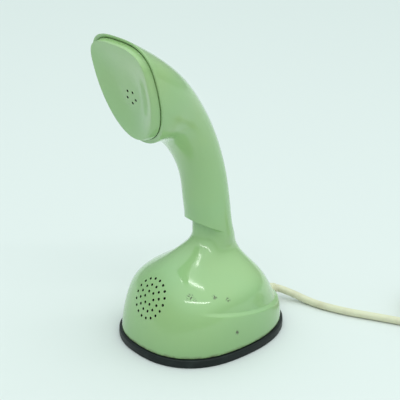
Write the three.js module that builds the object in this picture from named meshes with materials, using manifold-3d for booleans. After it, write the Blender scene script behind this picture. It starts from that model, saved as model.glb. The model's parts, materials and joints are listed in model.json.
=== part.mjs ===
// A one-piece desk telephone of the nineteen-fifties. Base, neck and head are one moulded case,
// the receiver is behind the ear cap, the microphone is behind holes low in the front, and the
// dial is under the base, round a plunger that the telephone's own weight holds in.
// Millimetres, +Z up, the front towards -Y, the table at z = 0.

import * as THREE from 'three';
import { mergeVertices } from 'three/addons/utils/BufferGeometryUtils.js';
import Module from 'manifold-3d';

const wasm = await Module();
wasm.setup();

// ---------------------------------------------------------------- driving sizes

const GAP = 0.3;                 // left between pieces that touch
const WALL = 2.4;                // case wall
const CENTRE_Y = 6.58;           // moves the middle of the whole object onto the origin

const RING = { height: 6, band: 8, proud: 1.7, round: 0.8 };

// The case: its spine and the oval round it, from the bottom edge to the mouth for the ear cap.
// A station is: distance along the spine, spine y and z, tilt, half width, front depth,
// rear depth, squareness of the front half and of the rear half.
const CASE_STATIONS = [
  [6, -7, 6, 0, 48.8, 51.1, 65.2, 2.33, 2.35],
  [14, -7, 14, 0, 48.8, 49.6, 64.8, 2.33, 2.35],
  [24, -6.5, 24, 0, 48.4, 47.3, 61.1, 2.33, 2.33],
  [34, -5.4, 34, 0, 46.8, 45, 54.6, 2.3, 2.3],
  [44, -3.7, 44, 0, 41.2, 42, 44.8, 2.25, 2.25],
  [52, -2.2, 52, 0, 30.8, 37.3, 36, 2.2, 2.2],
  [60, 2, 60, 0, 19.4, 30.8, 26.5, 2.15, 2.15],
  [66, 5.9, 66, 0, 15.4, 23, 20.4, 2.1, 2.1],
  [72, 7.9, 72, 0, 15.7, 20.6, 16.6, 2.1, 2.1],
  [79, 7.2, 79, 0, 16.4, 19.2, 14.7, 2.1, 2.1],
  [86, 5.2, 86, 0, 16.7, 16.4, 15.4, 2.1, 2.1],
  [100, 3.3, 99.8, 4, 16.6, 15.8, 15.5, 2.1, 2.1],
  [119, 0.4, 117.8, 12, 16.7, 15, 15.2, 2.1, 2.1],
  [139, -5.7, 136.4, 23, 17.7, 14.7, 15.8, 2.1, 2.1],
  [159, -15.4, 154.6, 38, 20.3, 16.2, 17.1, 2.1, 2.2],
  [181, -28.2, 171.4, 58, 24.6, 21, 19.5, 2.1, 2.4],
  [203, -43.4, 184.2, 82, 30.2, 29.5, 25.2, 2.1, 2.7],
];
const CREASE = { height: 29.9, slope: 0.19, inset: 2.2, ledge: 1.4, from: 50, full: 80, gone: 52 };
const NOTCH = { height: 81.7, slope: 0.5, depth: 5.5, lip: 0.8, start: 62, deep: 76, back: 94 };
const CASE_SIDES = 40;

// The ear cap, in its own frame: origin on the face at the middle of the sound holes, +Y up the
// face and +Z out of it. Three ovals shape it: the seam inside the case's mouth, the crest of the
// rolled rim, and the flat of the dish round the holes.
const EAR = {
  y: -59.1, z: 186.8, lean: 13.9, wall: 2.2, inside: 2.6, mouth: -0.3, crestHeight: 4.6,
  holes: 5, holeRing: 4.5, holeRadius: 0.9,
};
const SEAM = { rise: 12, width: 30.6, below: 42, above: 27.3, squareBelow: 2.15, squareAbove: 3 };
const CREST = { rise: 18, width: 28.2, below: 46.5, above: 21, squareBelow: 2, squareAbove: 3.1 };
const DISH = { rise: 1, width: 8, below: 9, above: 9, squareBelow: 2, squareAbove: 2 };
const RECEIVER = {
  seat: 4.5, radius: 20, depth: 11.5, lift: 3, screwX: 25.8 - WALL, boss: 2.4, clip: 1.6,
};

// The microphone, in its own frame: origin on the case, +Z out of it.
const MIC = {
  y: -47.9, z: 40, lean: 33.1, holeRadius: 0.95, rings: [[4.6, 6, 0], [9.2, 12, 15], [13.9, 18, 0]],
  radius: 17, depth: 12, front: WALL + 5, felt: 1.2, holderWall: 2,
};

const PLATE = { bottom: RING.height + GAP, thick: 2 };
const BASE_SCREW = {
  x: 12, y: 46, shank: 1.4, head: 3, headHeight: 1.6, post: 4, postHeight: 4.4, length: 4.6,
};

// The dial is centred on x = 0, y = 0 and turns about Z.
const DIAL = {
  wheelRadius: 37, wheelBottom: 2.2, wheelThick: 1.8, holes: 10, holeRadius: 6.5, holeRing: 28.5,
  holeStep: 30, firstHole: -50, numberRadius: 40, numberThick: 1.4, shaftRadius: 6, shaftTop: 27,
  flange: 12.3, flangeThick: 1.5, stopAngle: -68,
};
const GEAR = { teeth: 48, pinionTeeth: 12, module: 1, z: 17, thick: 2 };
const WORM = { wheelTeeth: 20, module: 0.75, wheelThick: 3, z: 23.5, pitchRadius: 2.5, turns: 4 };
const FRAME = { side: 31, front: 31, rear: 38, thick: 1.6 };
const CAM = { radius: 12.8, lobe: 1.2, lobes: 10, z: 24.4, thick: 1.5 };
const GOVERNOR = { cupRadius: 8, cupX: 26, cupDepth: 7, shaftRadius: 1, weightRadius: 6 };

// The plunger slides in the dial's hollow shaft and pushes the switch lever.
const PLUNGER = {
  travel: 5, buttonRadius: 7.7, buttonThick: 1.6, rodRadius: 3, collarRadius: 8.5, collarThick: 1.6,
  springRadius: 4.6, wireRadius: 0.5, coils: 5,
};
const BRACKET = { side: 27, leg: 1.5, half: 6, top: 43.5, ear: 9, earThick: 2, earBack: 36 };
const LEVER = { pivotY: 18, hub: 2.4, pin: 1, thick: 1.5, armIn: 5.8, armWide: 2.6 };

const CORD = { radius: 2.75, sides: 8, coilInner: 24.5, coilStep: 5.5, coilTurnsAcross: 3, layers: 3 };
const RELIEF = {
  y: 58.2, z: RING.height + 5.8, drop: 12, length: 12, rootRadius: 4.4, tipRadius: 3.6,
  flange: 5.2, inside: WALL + 7.2, collar: 0.6,
};

// ---------------------------------------------------------------- materials

function finish(colour, roughness, metalness = 0) {
  return new THREE.MeshStandardMaterial({ color: colour, roughness, metalness });
}

const mint = finish(0x9abe8e, 0.28);
const rubber = finish(0x212a29, 0.75);
const black = finish(0x1d1d1f, 0.45);
const cream = finish(0xe1dcc8, 0.5);
const steel = finish(0x9a9da1, 0.35, 1);
const brass = finish(0xb99a54, 0.35, 1);
const spring = finish(0x7d8084, 0.3, 1);
const copper = finish(0x9b5a32, 0.4, 1);
const felt = finish(0x4a4a44, 0.95);
const red = finish(0xa8322a, 0.35);
const white = finish(0xe9e7df, 0.35);

// ---------------------------------------------------------------- solids and booleans

const radians = THREE.MathUtils.degToRad;
const smooth = THREE.MathUtils.smoothstep;
const lerp = THREE.MathUtils.lerp;

function bare(geometry) {
  const plain = new THREE.BufferGeometry();
  plain.setAttribute('position', geometry.getAttribute('position').clone());
  if (geometry.index) plain.setIndex(Array.from(geometry.index.array));
  return mergeVertices(plain, 1e-4);
}

function volumeOf(geometry) {
  const p = geometry.getAttribute('position');
  const corners = [new THREE.Vector3(), new THREE.Vector3(), new THREE.Vector3()];
  let sum = 0;
  for (let i = 0; i < geometry.index.count; i += 3) {
    corners.forEach((corner, k) => corner.fromBufferAttribute(p, geometry.index.getX(i + k)));
    sum += corners[0].dot(corners[1].cross(corners[2]));
  }
  return sum / 6;
}

// Merges the vertices and turns the faces outwards.
function closed(geometry) {
  const solid = bare(geometry);
  if (volumeOf(solid) < 0) {
    const turned = Array.from(solid.index.array);
    for (let i = 0; i < turned.length; i += 3) [turned[i], turned[i + 1]] = [turned[i + 1], turned[i]];
    solid.setIndex(turned);
  }
  return solid;
}

function toManifold(geometry) {
  const solid = closed(geometry);
  return new wasm.Manifold(new wasm.Mesh({
    numProp: 3,
    vertProperties: Float32Array.from(solid.getAttribute('position').array),
    triVerts: Uint32Array.from(solid.index.array),
  }));
}

function fromManifold(manifold) {
  const mesh = manifold.getMesh();
  const geometry = new THREE.BufferGeometry();
  geometry.setAttribute('position', new THREE.Float32BufferAttribute(mesh.vertProperties, 3));
  geometry.setIndex(Array.from(mesh.triVerts));
  return geometry;
}

function cut(body, ...tools) {
  return fromManifold(tools.reduce((rest, tool) => rest.subtract(toManifold(tool)), toManifold(body)));
}

function join(first, ...others) {
  return fromManifold(others.reduce((sum, other) => sum.add(toManifold(other)), toManifold(first)));
}

// ---------------------------------------------------------------- shape helpers

// A solid turned about Z from a profile of [radius, z] points.
function turned(profile, sides = 28) {
  const points = profile.map(([r, z]) => new THREE.Vector2(r, z));
  const onAxis = profile[0][0] === 0 && profile.at(-1)[0] === 0;
  if (!onAxis) points.push(points[0].clone());
  return closed(new THREE.LatheGeometry(points, sides).rotateX(Math.PI / 2));
}

function disc(radius, low, high, sides = 24) {
  return turned([[0, low], [radius, low], [radius, high], [0, high]], sides);
}

function pipe(inner, outer, low, high, sides = 28) {
  return turned([[inner, low], [outer, low], [outer, high], [inner, high]], sides);
}

function block(x0, x1, y0, y1, z0, z1) {
  const box = new THREE.BoxGeometry(x1 - x0, y1 - y0, z1 - z0);
  return closed(box.translate((x0 + x1) / 2, (y0 + y1) / 2, (z0 + z1) / 2));
}

function slab(points, low, high) {
  const shape = new THREE.Shape(points);
  const solid = new THREE.ExtrudeGeometry(shape, { depth: high - low, bevelEnabled: false });
  return closed(solid.translate(0, 0, low));
}

// A round bar along X, between two x values.
function barX(radius, x0, x1, y, z, sides = 16) {
  return disc(radius, x0, x1, sides).rotateY(Math.PI / 2).translate(0, y, z);
}

// Stitches closed rings of points into a solid, as a hoop or with flat ends.
function loft(rings, hoop = false) {
  const n = rings[0].length;
  const positions = rings.flat().flatMap((p) => [p.x, p.y, p.z]);
  const index = [];
  const spans = hoop ? rings.length : rings.length - 1;
  for (let r = 0; r < spans; r += 1) {
    for (let c = 0; c < n; c += 1) {
      const a = r * n + c;
      const b = r * n + ((c + 1) % n);
      const up = ((r + 1) % rings.length) * n;
      const d = up + c;
      const e = up + ((c + 1) % n);
      index.push(a, b, e, a, e, d);
    }
  }
  if (!hoop) closeEnds(rings, positions, index);
  const geometry = new THREE.BufferGeometry();
  geometry.setAttribute('position', new THREE.Float32BufferAttribute(positions, 3));
  geometry.setIndex(index);
  return closed(geometry);
}

function closeEnds(rings, positions, index) {
  const n = rings[0].length;
  const middle = (ring) => ring.reduce((sum, p) => sum.add(p), new THREE.Vector3()).divideScalar(n);
  const ends = [[rings[0], 0, true], [rings.at(-1), (rings.length - 1) * n, false]];
  for (const [ring, start, first] of ends) {
    const centre = positions.length / 3;
    positions.push(...middle(ring).toArray());
    for (let c = 0; c < n; c += 1) {
      const a = start + c;
      const b = start + ((c + 1) % n);
      index.push(...(first ? [b, a, centre] : [a, b, centre]));
    }
  }
}

// One point of an oval whose front and rear halves have their own depth and squareness.
// The angle runs from the front, towards +X.
function ovalPoint(angle, width, front, rear, squareFront, squareRear) {
  const c = Math.cos(angle);
  const s = Math.sin(angle);
  const n = c > 0 ? squareFront : squareRear;
  const depth = c > 0 ? -front : rear;
  return {
    across: width * Math.sign(s) * Math.abs(s) ** (2 / n),
    along: depth * Math.abs(c) ** (2 / n),
  };
}

// ---------------------------------------------------------------- the case surface

// The mouth that the ear cap plugs into is the last station.
function mouthStation() {
  const lean = radians(EAR.lean);
  const y = EAR.y - SEAM.rise * Math.sin(lean) - EAR.mouth * Math.cos(lean);
  const z = EAR.z + SEAM.rise * Math.cos(lean) - EAR.mouth * Math.sin(lean);
  const out = WALL + GAP;
  return [
    226, y, z, 90 + EAR.lean, SEAM.width + out, SEAM.below + out, SEAM.above + out,
    SEAM.squareBelow, SEAM.squareAbove,
  ];
}

const stations = [...CASE_STATIONS, mouthStation()];
const mouth = stations.at(-1)[0];
const stationCurve = new THREE.CubicInterpolant(
  stations.map((row) => row[0]), stations.flatMap((row) => row.slice(1)), stations[0].length - 1,
);

// How far the dome is set in from the skirt below it: all round the sides and the rear, fading
// out towards the front and up the dome.
function inset(angle, s) {
  const turn = THREE.MathUtils.radToDeg(Math.acos(Math.cos(angle)));
  const rise = 1 - smooth(s, CREASE.height, CREASE.gone);
  return CREASE.inset * smooth(turn, CREASE.from, CREASE.full) * rise;
}

// How far the front of the neck is set back under the notch.
function setback(angle, s) {
  const facing = smooth(Math.cos(angle), 0, 0.75);
  return NOTCH.depth * facing * smooth(s, NOTCH.start, NOTCH.deep);
}

// A point of the case at an angle round the spine and a distance along it, moved out by `grow`.
function casePoint(angle, s, grow = 0) {
  const [y, z, tilt, w, front, rear, nf, nr] = stationCurve.evaluate(s);
  const p = ovalPoint(angle, w + grow, front + grow, rear + grow, nf, nr);
  const lean = radians(tilt);
  return new THREE.Vector3(p.across, y + p.along * Math.cos(lean), z + p.along * Math.sin(lean));
}

function creaseAt(angle) {
  const y = casePoint(angle, 26).y;
  return CREASE.height - CREASE.slope * y;
}

function notchAt(angle) {
  const y = casePoint(angle, 84).y;
  return NOTCH.height - NOTCH.slope * y;
}

function ringOf(pointAt) {
  return Array.from({ length: CASE_SIDES }, (_, i) => pointAt((i / CASE_SIDES) * 2 * Math.PI));
}

function outerRings() {
  const bottom = PLATE.bottom;
  const rings = [];
  for (let k = 0; k <= 4; k += 1) {
    rings.push(ringOf((a) => casePoint(a, lerp(bottom, creaseAt(a), k / 4))));
  }
  for (let k = 0; k <= 8; k += 1) {
    rings.push(ringOf((a) => {
      const s = lerp(creaseAt(a) + CREASE.ledge, notchAt(a), k / 8);
      return casePoint(a, s, -setback(a, s) - inset(a, s));
    }));
  }
  for (let k = 0; k <= 3; k += 1) {
    rings.push(ringOf((a) => casePoint(a, lerp(notchAt(a) + NOTCH.lip, 100, k / 3))));
  }
  for (let k = 1; k <= 11; k += 1) rings.push(ringOf((a) => casePoint(a, lerp(100, mouth, k / 11))));
  return rings;
}

function innerRings() {
  const heights = [PLATE.bottom, 22, 36, 48, 56, 62, 68, 76, 84, 94, 118, 140, 160, 180, 203, mouth];
  return heights.reverse().map((s) => ringOf((a) => {
    const back = setback(a, s) * (1 - smooth(s, NOTCH.height, NOTCH.back));
    return casePoint(a, s, -WALL - back - inset(a, s));
  }));
}

// ---------------------------------------------------------------- case group

function micDirection() {
  return new THREE.Matrix4()
    .makeTranslation(0, MIC.y, MIC.z)
    .multiply(new THREE.Matrix4().makeRotationX(radians(90 - MIC.lean)));
}

function micHoles() {
  const drills = [];
  for (const [radius, count, phase] of MIC.rings) {
    for (let i = 0; i < count; i += 1) {
      const turn = radians(phase + (i * 360) / count);
      const drill = disc(MIC.holeRadius, -9, 5, 6);
      drill.translate(radius * Math.cos(turn), radius * Math.sin(turn), 0);
      drills.push(drill.applyMatrix4(micDirection()));
    }
  }
  return drills;
}

function screwPlaces() {
  const { x, y } = BASE_SCREW;
  return [[x, -y], [-x, -y], [x, y], [-x, y]];
}

// A post for a base screw, with a rib that ties it to the wall.
function screwPost(x, y) {
  const low = PLATE.bottom + PLATE.thick + GAP;
  const high = low + BASE_SCREW.postHeight;
  const wallY = casePoint(y < 0 ? 0 : Math.PI, low).y - Math.sign(y) * WALL * 1.4;
  const post = disc(BASE_SCREW.post, low, high, 16).translate(x, y, 0);
  const rib = block(x - 1.5, x + 1.5, Math.min(y, wallY), Math.max(y, wallY), low, high);
  const hole = disc(BASE_SCREW.shank + GAP, low - 1, high - 1, 10).translate(x, y, 0);
  return cut(join(post, rib), hole);
}

function reliefPlacement() {
  return new THREE.Matrix4()
    .makeTranslation(0, RELIEF.y, RELIEF.z)
    .multiply(new THREE.Matrix4().makeRotationX(radians(-90 - RELIEF.drop)));
}

function caseShell() {
  const shell = loft([...outerRings(), ...innerRings()], true);
  const posts = screwPlaces().map(([x, y]) => screwPost(x, y));
  const cordHole = disc(RELIEF.rootRadius + GAP, -12, 6, 16).applyMatrix4(reliefPlacement());
  return cut(join(shell, ...posts), cordHole, ...micHoles());
}

// The rubber ring that the case stands on follows the bottom edge, a little outside it.
function footRing() {
  const { height, band, proud, round } = RING;
  const edge = (a, out, z) => {
    const p = casePoint(a, PLATE.bottom, out);
    return new THREE.Vector3(p.x, p.y, z);
  };
  const profile = [
    [proud - round / 2, 0], [proud, round], [proud, height - round], [proud - round, height],
    [proud - band, height], [proud - band, 0],
  ];
  return loft(profile.map(([out, z]) => ringOf((a) => edge(a, out, z))), true);
}

function basePlate() {
  const outline = ringOf((a) => casePoint(a, PLATE.bottom, -WALL - 2 * GAP - inset(a, PLATE.bottom)));
  const flat = outline.map((p) => new THREE.Vector2(p.x, p.y));
  const plate = slab(flat, PLATE.bottom, PLATE.bottom + PLATE.thick);
  const screwHole = BASE_SCREW.shank + GAP;
  const screwHoles = screwPlaces().map(([x, y]) => disc(screwHole, 0, 20, 12).translate(x, y, 0));
  const middle = disc(DIAL.flange + GAP, 0, 20, 32);
  const dialHoles = dialScrewPlaces().map(([x, y]) => disc(1.6, 0, 20, 10).translate(x, y, 0));
  const cordNotch = disc(RELIEF.flange + GAP, -RELIEF.inside - 2, 2, 16).applyMatrix4(reliefPlacement());
  return cut(plate, middle, cordNotch, ...screwHoles, ...dialHoles);
}

// A pan-head screw standing on its head, the shank up.
function screw(shank, length, head, headHeight) {
  return turned([
    [0, 0], [head * 0.8, 0], [head, headHeight * 0.5], [head, headHeight],
    [shank, headHeight], [shank, headHeight + length], [0, headHeight + length],
  ], 9);
}

// ---------------------------------------------------------------- ear cap and receiver

// An oval between two of the cap's ovals, drawn in by `step`, at height z.
function earRing(from, to, share, step, z) {
  const oval = Object.fromEntries(Object.keys(from).map((key) => [key, lerp(from[key], to[key], share)]));
  const { rise, width, below, above, squareBelow, squareAbove } = oval;
  return ringOf((a) => {
    const p = ovalPoint(a, width - step, below - step, above - step, squareBelow, squareAbove);
    return new THREE.Vector3(p.across, rise + p.along, z);
  });
}

function earCap() {
  const { wall, inside, crestHeight } = EAR;
  const dish = [[1, 0.05], [0.8, 0.2], [0.5, 1.7], [0.24, 3.5], [0.1, 4.4]];
  const back = dish.slice(0, 4).map(([share, z]) => earRing(CREST, DISH, share, 0, z - wall));
  const skirt = [
    [2 * wall, 1 - wall], [2 * wall, -inside], [inside, -inside], [0, -0.2], [0, 0.4], [0.3, 1],
  ];
  const band = [[0.3, 2.4], [0.7, 3.9], [1, crestHeight]];
  const shell = loft([
    ...back,
    ...skirt.map(([step, z]) => earRing(SEAM, CREST, 0, step, z)),
    ...band.map(([share, z]) => earRing(SEAM, CREST, share, 0.5 * (1 - share), z)),
    ...dish.reverse().map(([share, z]) => earRing(CREST, DISH, share, 0, z)),
  ]);
  const end = -RECEIVER.seat - RECEIVER.depth;
  const posts = [-1, 1].map((side) => (
    disc(RECEIVER.boss, end, 1.2, 16).translate(side * RECEIVER.screwX, RECEIVER.lift, 0)
  ));
  const bores = [-1, 1].map((side) => (
    disc(1.5, end - 1, -RECEIVER.seat - 3, 10).translate(side * RECEIVER.screwX, RECEIVER.lift, 0)
  ));
  return cut(join(shell, ...posts), ...bores, ...earHoles());
}

function earHoles() {
  return Array.from({ length: EAR.holes }, (_, i) => {
    const turn = radians(-90 + (i * 360) / EAR.holes);
    const drill = disc(EAR.holeRadius, -2 * EAR.wall, 3, 8);
    return drill.translate(EAR.holeRing * Math.cos(turn), EAR.holeRing * Math.sin(turn), 0);
  });
}

function receiverGasket() {
  return pipe(15, 19, -RECEIVER.seat + 0.5, -EAR.wall - GAP);
}

// The capsule: a stepped can with two terminal pips on its back.
function receiverCapsule() {
  const { radius, depth } = RECEIVER;
  const front = -RECEIVER.seat + 0.2;
  const can = turned([
    [0, front], [radius - 1, front], [radius, front - 1], [radius, front - 4],
    [radius - 2.5, front - 5], [radius - 3.5, front - depth + 1], [0, front - depth + 1],
  ], 28);
  const pips = [-5, 5].map((x) => disc(1.6, front - depth - 1.5, front - depth + 2, 10).translate(x, 0, 0));
  return join(can, ...pips);
}

// A sprung bridge across the back of the capsule, screwed to the cap's posts.
function receiverClip() {
  const { screwX, boss, depth, clip } = RECEIVER;
  const high = -RECEIVER.seat - depth - GAP;
  const ring = pipe(8, 13, high - clip, high);
  const arms = block(-screwX - boss, screwX + boss, -3, 3, high - clip, high);
  const drill = (x, radius, sides) => disc(radius, high - 5, high + 1, sides).translate(x, 0, 0);
  return cut(join(ring, arms), drill(-screwX, 1.5, 10), drill(0, 8, 32), drill(screwX, 1.5, 10));
}

function receiverScrew() {
  const under = -RECEIVER.seat - RECEIVER.depth - RECEIVER.clip - 2 * GAP;
  return screw(1.1, 6, 2.2, 1.2).translate(0, 0, under - 1.2);
}

// ---------------------------------------------------------------- microphone

function microphoneFelt() {
  return disc(MIC.radius - 3, -MIC.front + 0.2, -MIC.front + 0.2 + MIC.felt, 24);
}

function microphoneCapsule() {
  const { radius, depth, front } = MIC;
  return turned([
    [0, -front], [radius - 1, -front], [radius, -front - 1], [radius, -front - 4],
    [radius - 4, -front - 5.5], [radius - 6, -front - depth], [0, -front - depth],
  ], 28);
}

// A cup that holds the capsule against the case, on a foot that stands on the base plate.
function microphoneHolder() {
  const { radius, depth, front, holderWall } = MIC;
  const inner = radius + GAP;
  const back = -front - depth - GAP;
  const cup = turned([
    [9, back - holderWall], [inner + holderWall, back - holderWall], [inner + holderWall, -front - 3.4],
    [inner, -front - 3.4], [inner, back], [9, back],
  ], 32).applyMatrix4(micDirection());
  const foot = block(-6, 6, -46, -41, PLATE.bottom + PLATE.thick + GAP, 15);
  const room = disc(inner, back, 0, 32).applyMatrix4(micDirection());
  return cut(join(cup, foot), room);
}

// ---------------------------------------------------------------- dial

function fingerHolePlaces() {
  return Array.from({ length: DIAL.holes }, (_, i) => {
    const turn = radians(DIAL.firstHole - (i + 1) * DIAL.holeStep);
    return [DIAL.holeRing * Math.cos(turn), DIAL.holeRing * Math.sin(turn)];
  });
}

function fingerWheel() {
  const { wheelRadius, wheelBottom, wheelThick } = DIAL;
  const high = wheelBottom + wheelThick;
  const wheel = turned([
    [PLUNGER.rodRadius + 2 * GAP, wheelBottom], [wheelRadius - 0.6, wheelBottom],
    [wheelRadius, wheelBottom + 0.6], [wheelRadius, high], [PLUNGER.rodRadius + 2 * GAP, high],
  ], 36);
  const holes = fingerHolePlaces().map(([x, y]) => disc(DIAL.holeRadius, 0, 10, 14).translate(x, y, 0));
  return cut(wheel, ...holes);
}

function numberRing() {
  const low = numberRingLow();
  return pipe(DIAL.flange + GAP, DIAL.numberRadius, low, low + DIAL.numberThick, 36);
}

function numberRingLow() {
  return PLATE.bottom - GAP - DIAL.numberThick;
}

// A bent strip: it stands on the number ring's rim and reaches in under the finger wheel.
function fingerStop() {
  const reachIn = DIAL.holeRing - DIAL.holeRadius + 2;
  const outside = DIAL.wheelRadius + 0.6;
  const under = DIAL.wheelBottom - GAP - 0.1;
  const hook = block(reachIn, outside + 1.6, -2, 2, under - 1.2, under);
  const upright = block(outside, outside + 1.6, -2, 2, under - 1.2, numberRingLow() - GAP);
  return join(hook, upright).rotateZ(radians(DIAL.stopAngle));
}

// The hollow shaft, with a flange that carries the finger wheel.
function dialShaft() {
  const { shaftRadius, shaftTop, flange, flangeThick } = DIAL;
  const low = DIAL.wheelBottom + DIAL.wheelThick + GAP;
  const bore = PLUNGER.rodRadius + GAP;
  return turned([
    [bore, low], [flange, low], [flange, low + flangeThick], [shaftRadius, low + flangeThick],
    [shaftRadius, shaftTop], [bore, shaftTop],
  ], 28);
}

// The outline of a gear with straight-sided teeth; the first tooth is centred on `phase`.
function gearOutline(teeth, module, phase) {
  const pitch = (teeth * module) / 2;
  const tip = pitch + 0.8 * module;
  const root = pitch - 1.1 * module;
  const step = (2 * Math.PI) / teeth;
  const points = [];
  for (let i = 0; i < teeth; i += 1) {
    const middle = phase + i * step;
    for (const [radius, share] of [[root, -0.3], [tip, -0.13], [tip, 0.13], [root, 0.3]]) {
      const turn = middle + share * step;
      points.push(new THREE.Vector2(radius * Math.cos(turn), radius * Math.sin(turn)));
    }
  }
  return points;
}

function mainGear() {
  const wheel = slab(gearOutline(GEAR.teeth, GEAR.module, Math.PI / 2), GEAR.z, GEAR.z + GEAR.thick);
  return cut(wheel, disc(DIAL.shaftRadius + GAP, 0, 40, 32));
}

function pulseCam() {
  const step = (2 * Math.PI) / CAM.lobes / 4;
  const points = Array.from({ length: CAM.lobes * 4 }, (_, i) => {
    const radius = CAM.radius + (i % 4 < 2 ? CAM.lobe : 0);
    return new THREE.Vector2(radius * Math.cos(i * step), radius * Math.sin(i * step));
  });
  return cut(slab(points, CAM.z, CAM.z + CAM.thick), disc(DIAL.shaftRadius + GAP, 0, 40, 32));
}

// A flat coiled strip between the shaft's sleeve and a peg on the frame.
function returnSpring() {
  const inner = 10;
  const pitch = 2.6;
  const turns = 4;
  const steps = 20 * turns;
  const strip = (offset) => Array.from({ length: steps + 1 }, (_, i) => {
    const turn = (i / 20) * 2 * Math.PI;
    const radius = inner + (pitch * i) / 20 + offset;
    return new THREE.Vector2(radius * Math.cos(turn), radius * Math.sin(turn));
  });
  return slab([...strip(0), ...strip(0.6).reverse()], 11.5, 15.5);
}

function frameTop() {
  return PLATE.bottom + PLATE.thick + GAP + FRAME.thick;
}

// The dial's plate, with a bearing sleeve for the hollow shaft.
function dialFrame() {
  const outline = ringOf((a) => {
    const p = ovalPoint(a, FRAME.side, FRAME.front, FRAME.rear, 2.2, 2.6);
    return new THREE.Vector2(p.across, p.along);
  });
  const low = frameTop() - FRAME.thick;
  const plate = slab(outline, low, frameTop());
  const sleeve = disc(8.5, low, 15.8, 32);
  const shaftHole = disc(DIAL.shaftRadius + GAP, 0, 40, 32);
  const arborHole = disc(1.8, 0, 40, 12).translate(0, arborY(), 0);
  const screwHoles = dialScrewPlaces().map(([x, y]) => disc(1.6, 0, 20, 10).translate(x, y, 0));
  return cut(join(plate, sleeve), shaftHole, arborHole, ...screwHoles);
}

function dialScrewPlaces() {
  return [[19, -20], [-17, -22], [24, 8.4]];
}

// ---------------------------------------------------------------- governor

function arborY() {
  return ((GEAR.teeth + GEAR.pinionTeeth) * GEAR.module) / 2;
}

function wormY() {
  return arborY() - (WORM.wheelTeeth * WORM.module) / 2 - WORM.pitchRadius;
}

// The upright arbor: a pinion in mesh with the main gear, and the worm wheel above it.
function governorArbor() {
  const gearLow = GEAR.z - 0.5;
  const pinion = slab(
    gearOutline(GEAR.pinionTeeth, GEAR.module, radians(-90 + 180 / GEAR.pinionTeeth)),
    gearLow, gearLow + GEAR.thick + 1,
  );
  const wheelLow = WORM.z - WORM.wheelThick / 2;
  const wheel = slab(
    gearOutline(WORM.wheelTeeth, WORM.module, radians(-90 + 180 / WORM.wheelTeeth)),
    wheelLow, wheelLow + WORM.wheelThick,
  );
  const pin = disc(1.5, frameTop() - FRAME.thick + GAP, 29.5, 12);
  return join(pin, pinion, wheel).translate(0, arborY(), 0);
}

// The worm's thread: rings of four points along a right-handed helix about X.
function wormThread() {
  const lead = Math.PI * WORM.module;
  const steps = 9;
  const rings = [];
  const half = Math.round((WORM.turns * steps) / 2);
  for (let i = -half; i <= half; i += 1) {
    const turn = (i / steps) * 2 * Math.PI;
    const x = (i / steps) * lead;
    const corner = (radius, dx) => (
      new THREE.Vector3(x + dx, radius * Math.cos(turn), radius * Math.sin(turn))
    );
    const tip = WORM.pitchRadius + 0.5;
    rings.push([corner(1.4, -0.5), corner(tip, -0.22), corner(tip, 0.22), corner(1.4, 0.5)]);
  }
  return loft(rings);
}

function governorSpindle() {
  const { cupX, cupDepth, shaftRadius } = GOVERNOR;
  const shaft = barX(shaftRadius, -13.5, cupX + cupDepth - 2, 0, 0, 12);
  const root = barX(1.7, -7, 7, 0, 0, 16);
  const reach = GOVERNOR.weightRadius - 1;
  const carrier = block(cupX - 0.5, cupX + 1.5, -2, 2, -reach, reach);
  return join(shaft, root, wormThread(), carrier).translate(0, wormY(), WORM.z);
}

function governorWeight(side) {
  const { cupX, weightRadius } = GOVERNOR;
  const low = side * 1.6;
  const high = side * weightRadius;
  const weight = block(cupX + 1.9, cupX + 4.6, -2.4, 2.4, Math.min(low, high), Math.max(low, high));
  return weight.translate(0, wormY(), WORM.z);
}

// The cup that the weights rub on, open towards the worm, on its own foot.
function governorCup() {
  const { cupRadius, cupX, cupDepth } = GOVERNOR;
  const y = wormY();
  const cup = turned([
    [0, cupDepth], [cupRadius, cupDepth], [cupRadius, 0], [cupRadius - 1.2, 0],
    [cupRadius - 1.2, cupDepth - 1.2], [0, cupDepth - 1.2],
  ], 24).rotateY(Math.PI / 2).translate(cupX, y, WORM.z);
  const foot = block(cupX + 1, cupX + 4, y - 2.5, y + 2.5, frameTop() + GAP, WORM.z - cupRadius + 0.8);
  return join(cup, foot);
}

// A bridge with two ears for the spindle and an arm over the arbor's top end.
function governorBracket() {
  const y = wormY();
  const low = frameTop() + GAP;
  const high = 32.2;
  const arm = block(-12.5, 22, y - 3, arborY() + 3, high - 1.6, high);
  const leg = block(20.5, 22, y - 3, y + 3, low, high);
  const farEar = block(-12.5, -11, y - 3, y + 3, 20.2, high);
  const boss = disc(3, 27.5, high - 0.5, 16).translate(0, arborY(), 0);
  const bore = disc(1.5 + GAP, 20, 29.9, 12).translate(0, arborY(), 0);
  const spindleBore = barX(GOVERNOR.shaftRadius + GAP, -14, 24, y, WORM.z, 12);
  return cut(join(arm, leg, farEar, boss), bore, spindleBore);
}

// ---------------------------------------------------------------- contacts and switch

// A strip of spring metal between two plan points.
function blade(x0, y0, x1, y1, thick, low, high) {
  const length = Math.hypot(x1 - x0, y1 - y0);
  const strip = block(0, length, -thick / 2, thick / 2, low, high);
  return strip.rotateZ(Math.atan2(y1 - y0, x1 - x0)).translate(x0, y0, 0);
}

function bracketLegs() {
  const { side, leg, half, top } = BRACKET;
  const low = frameTop() + GAP;
  return [
    block(-side - leg, -side, -half, half, low, top),
    block(side, side + leg, -half, half, low, top),
    block(-side - leg, side + leg, -half, half, top - leg, top),
  ];
}

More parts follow.
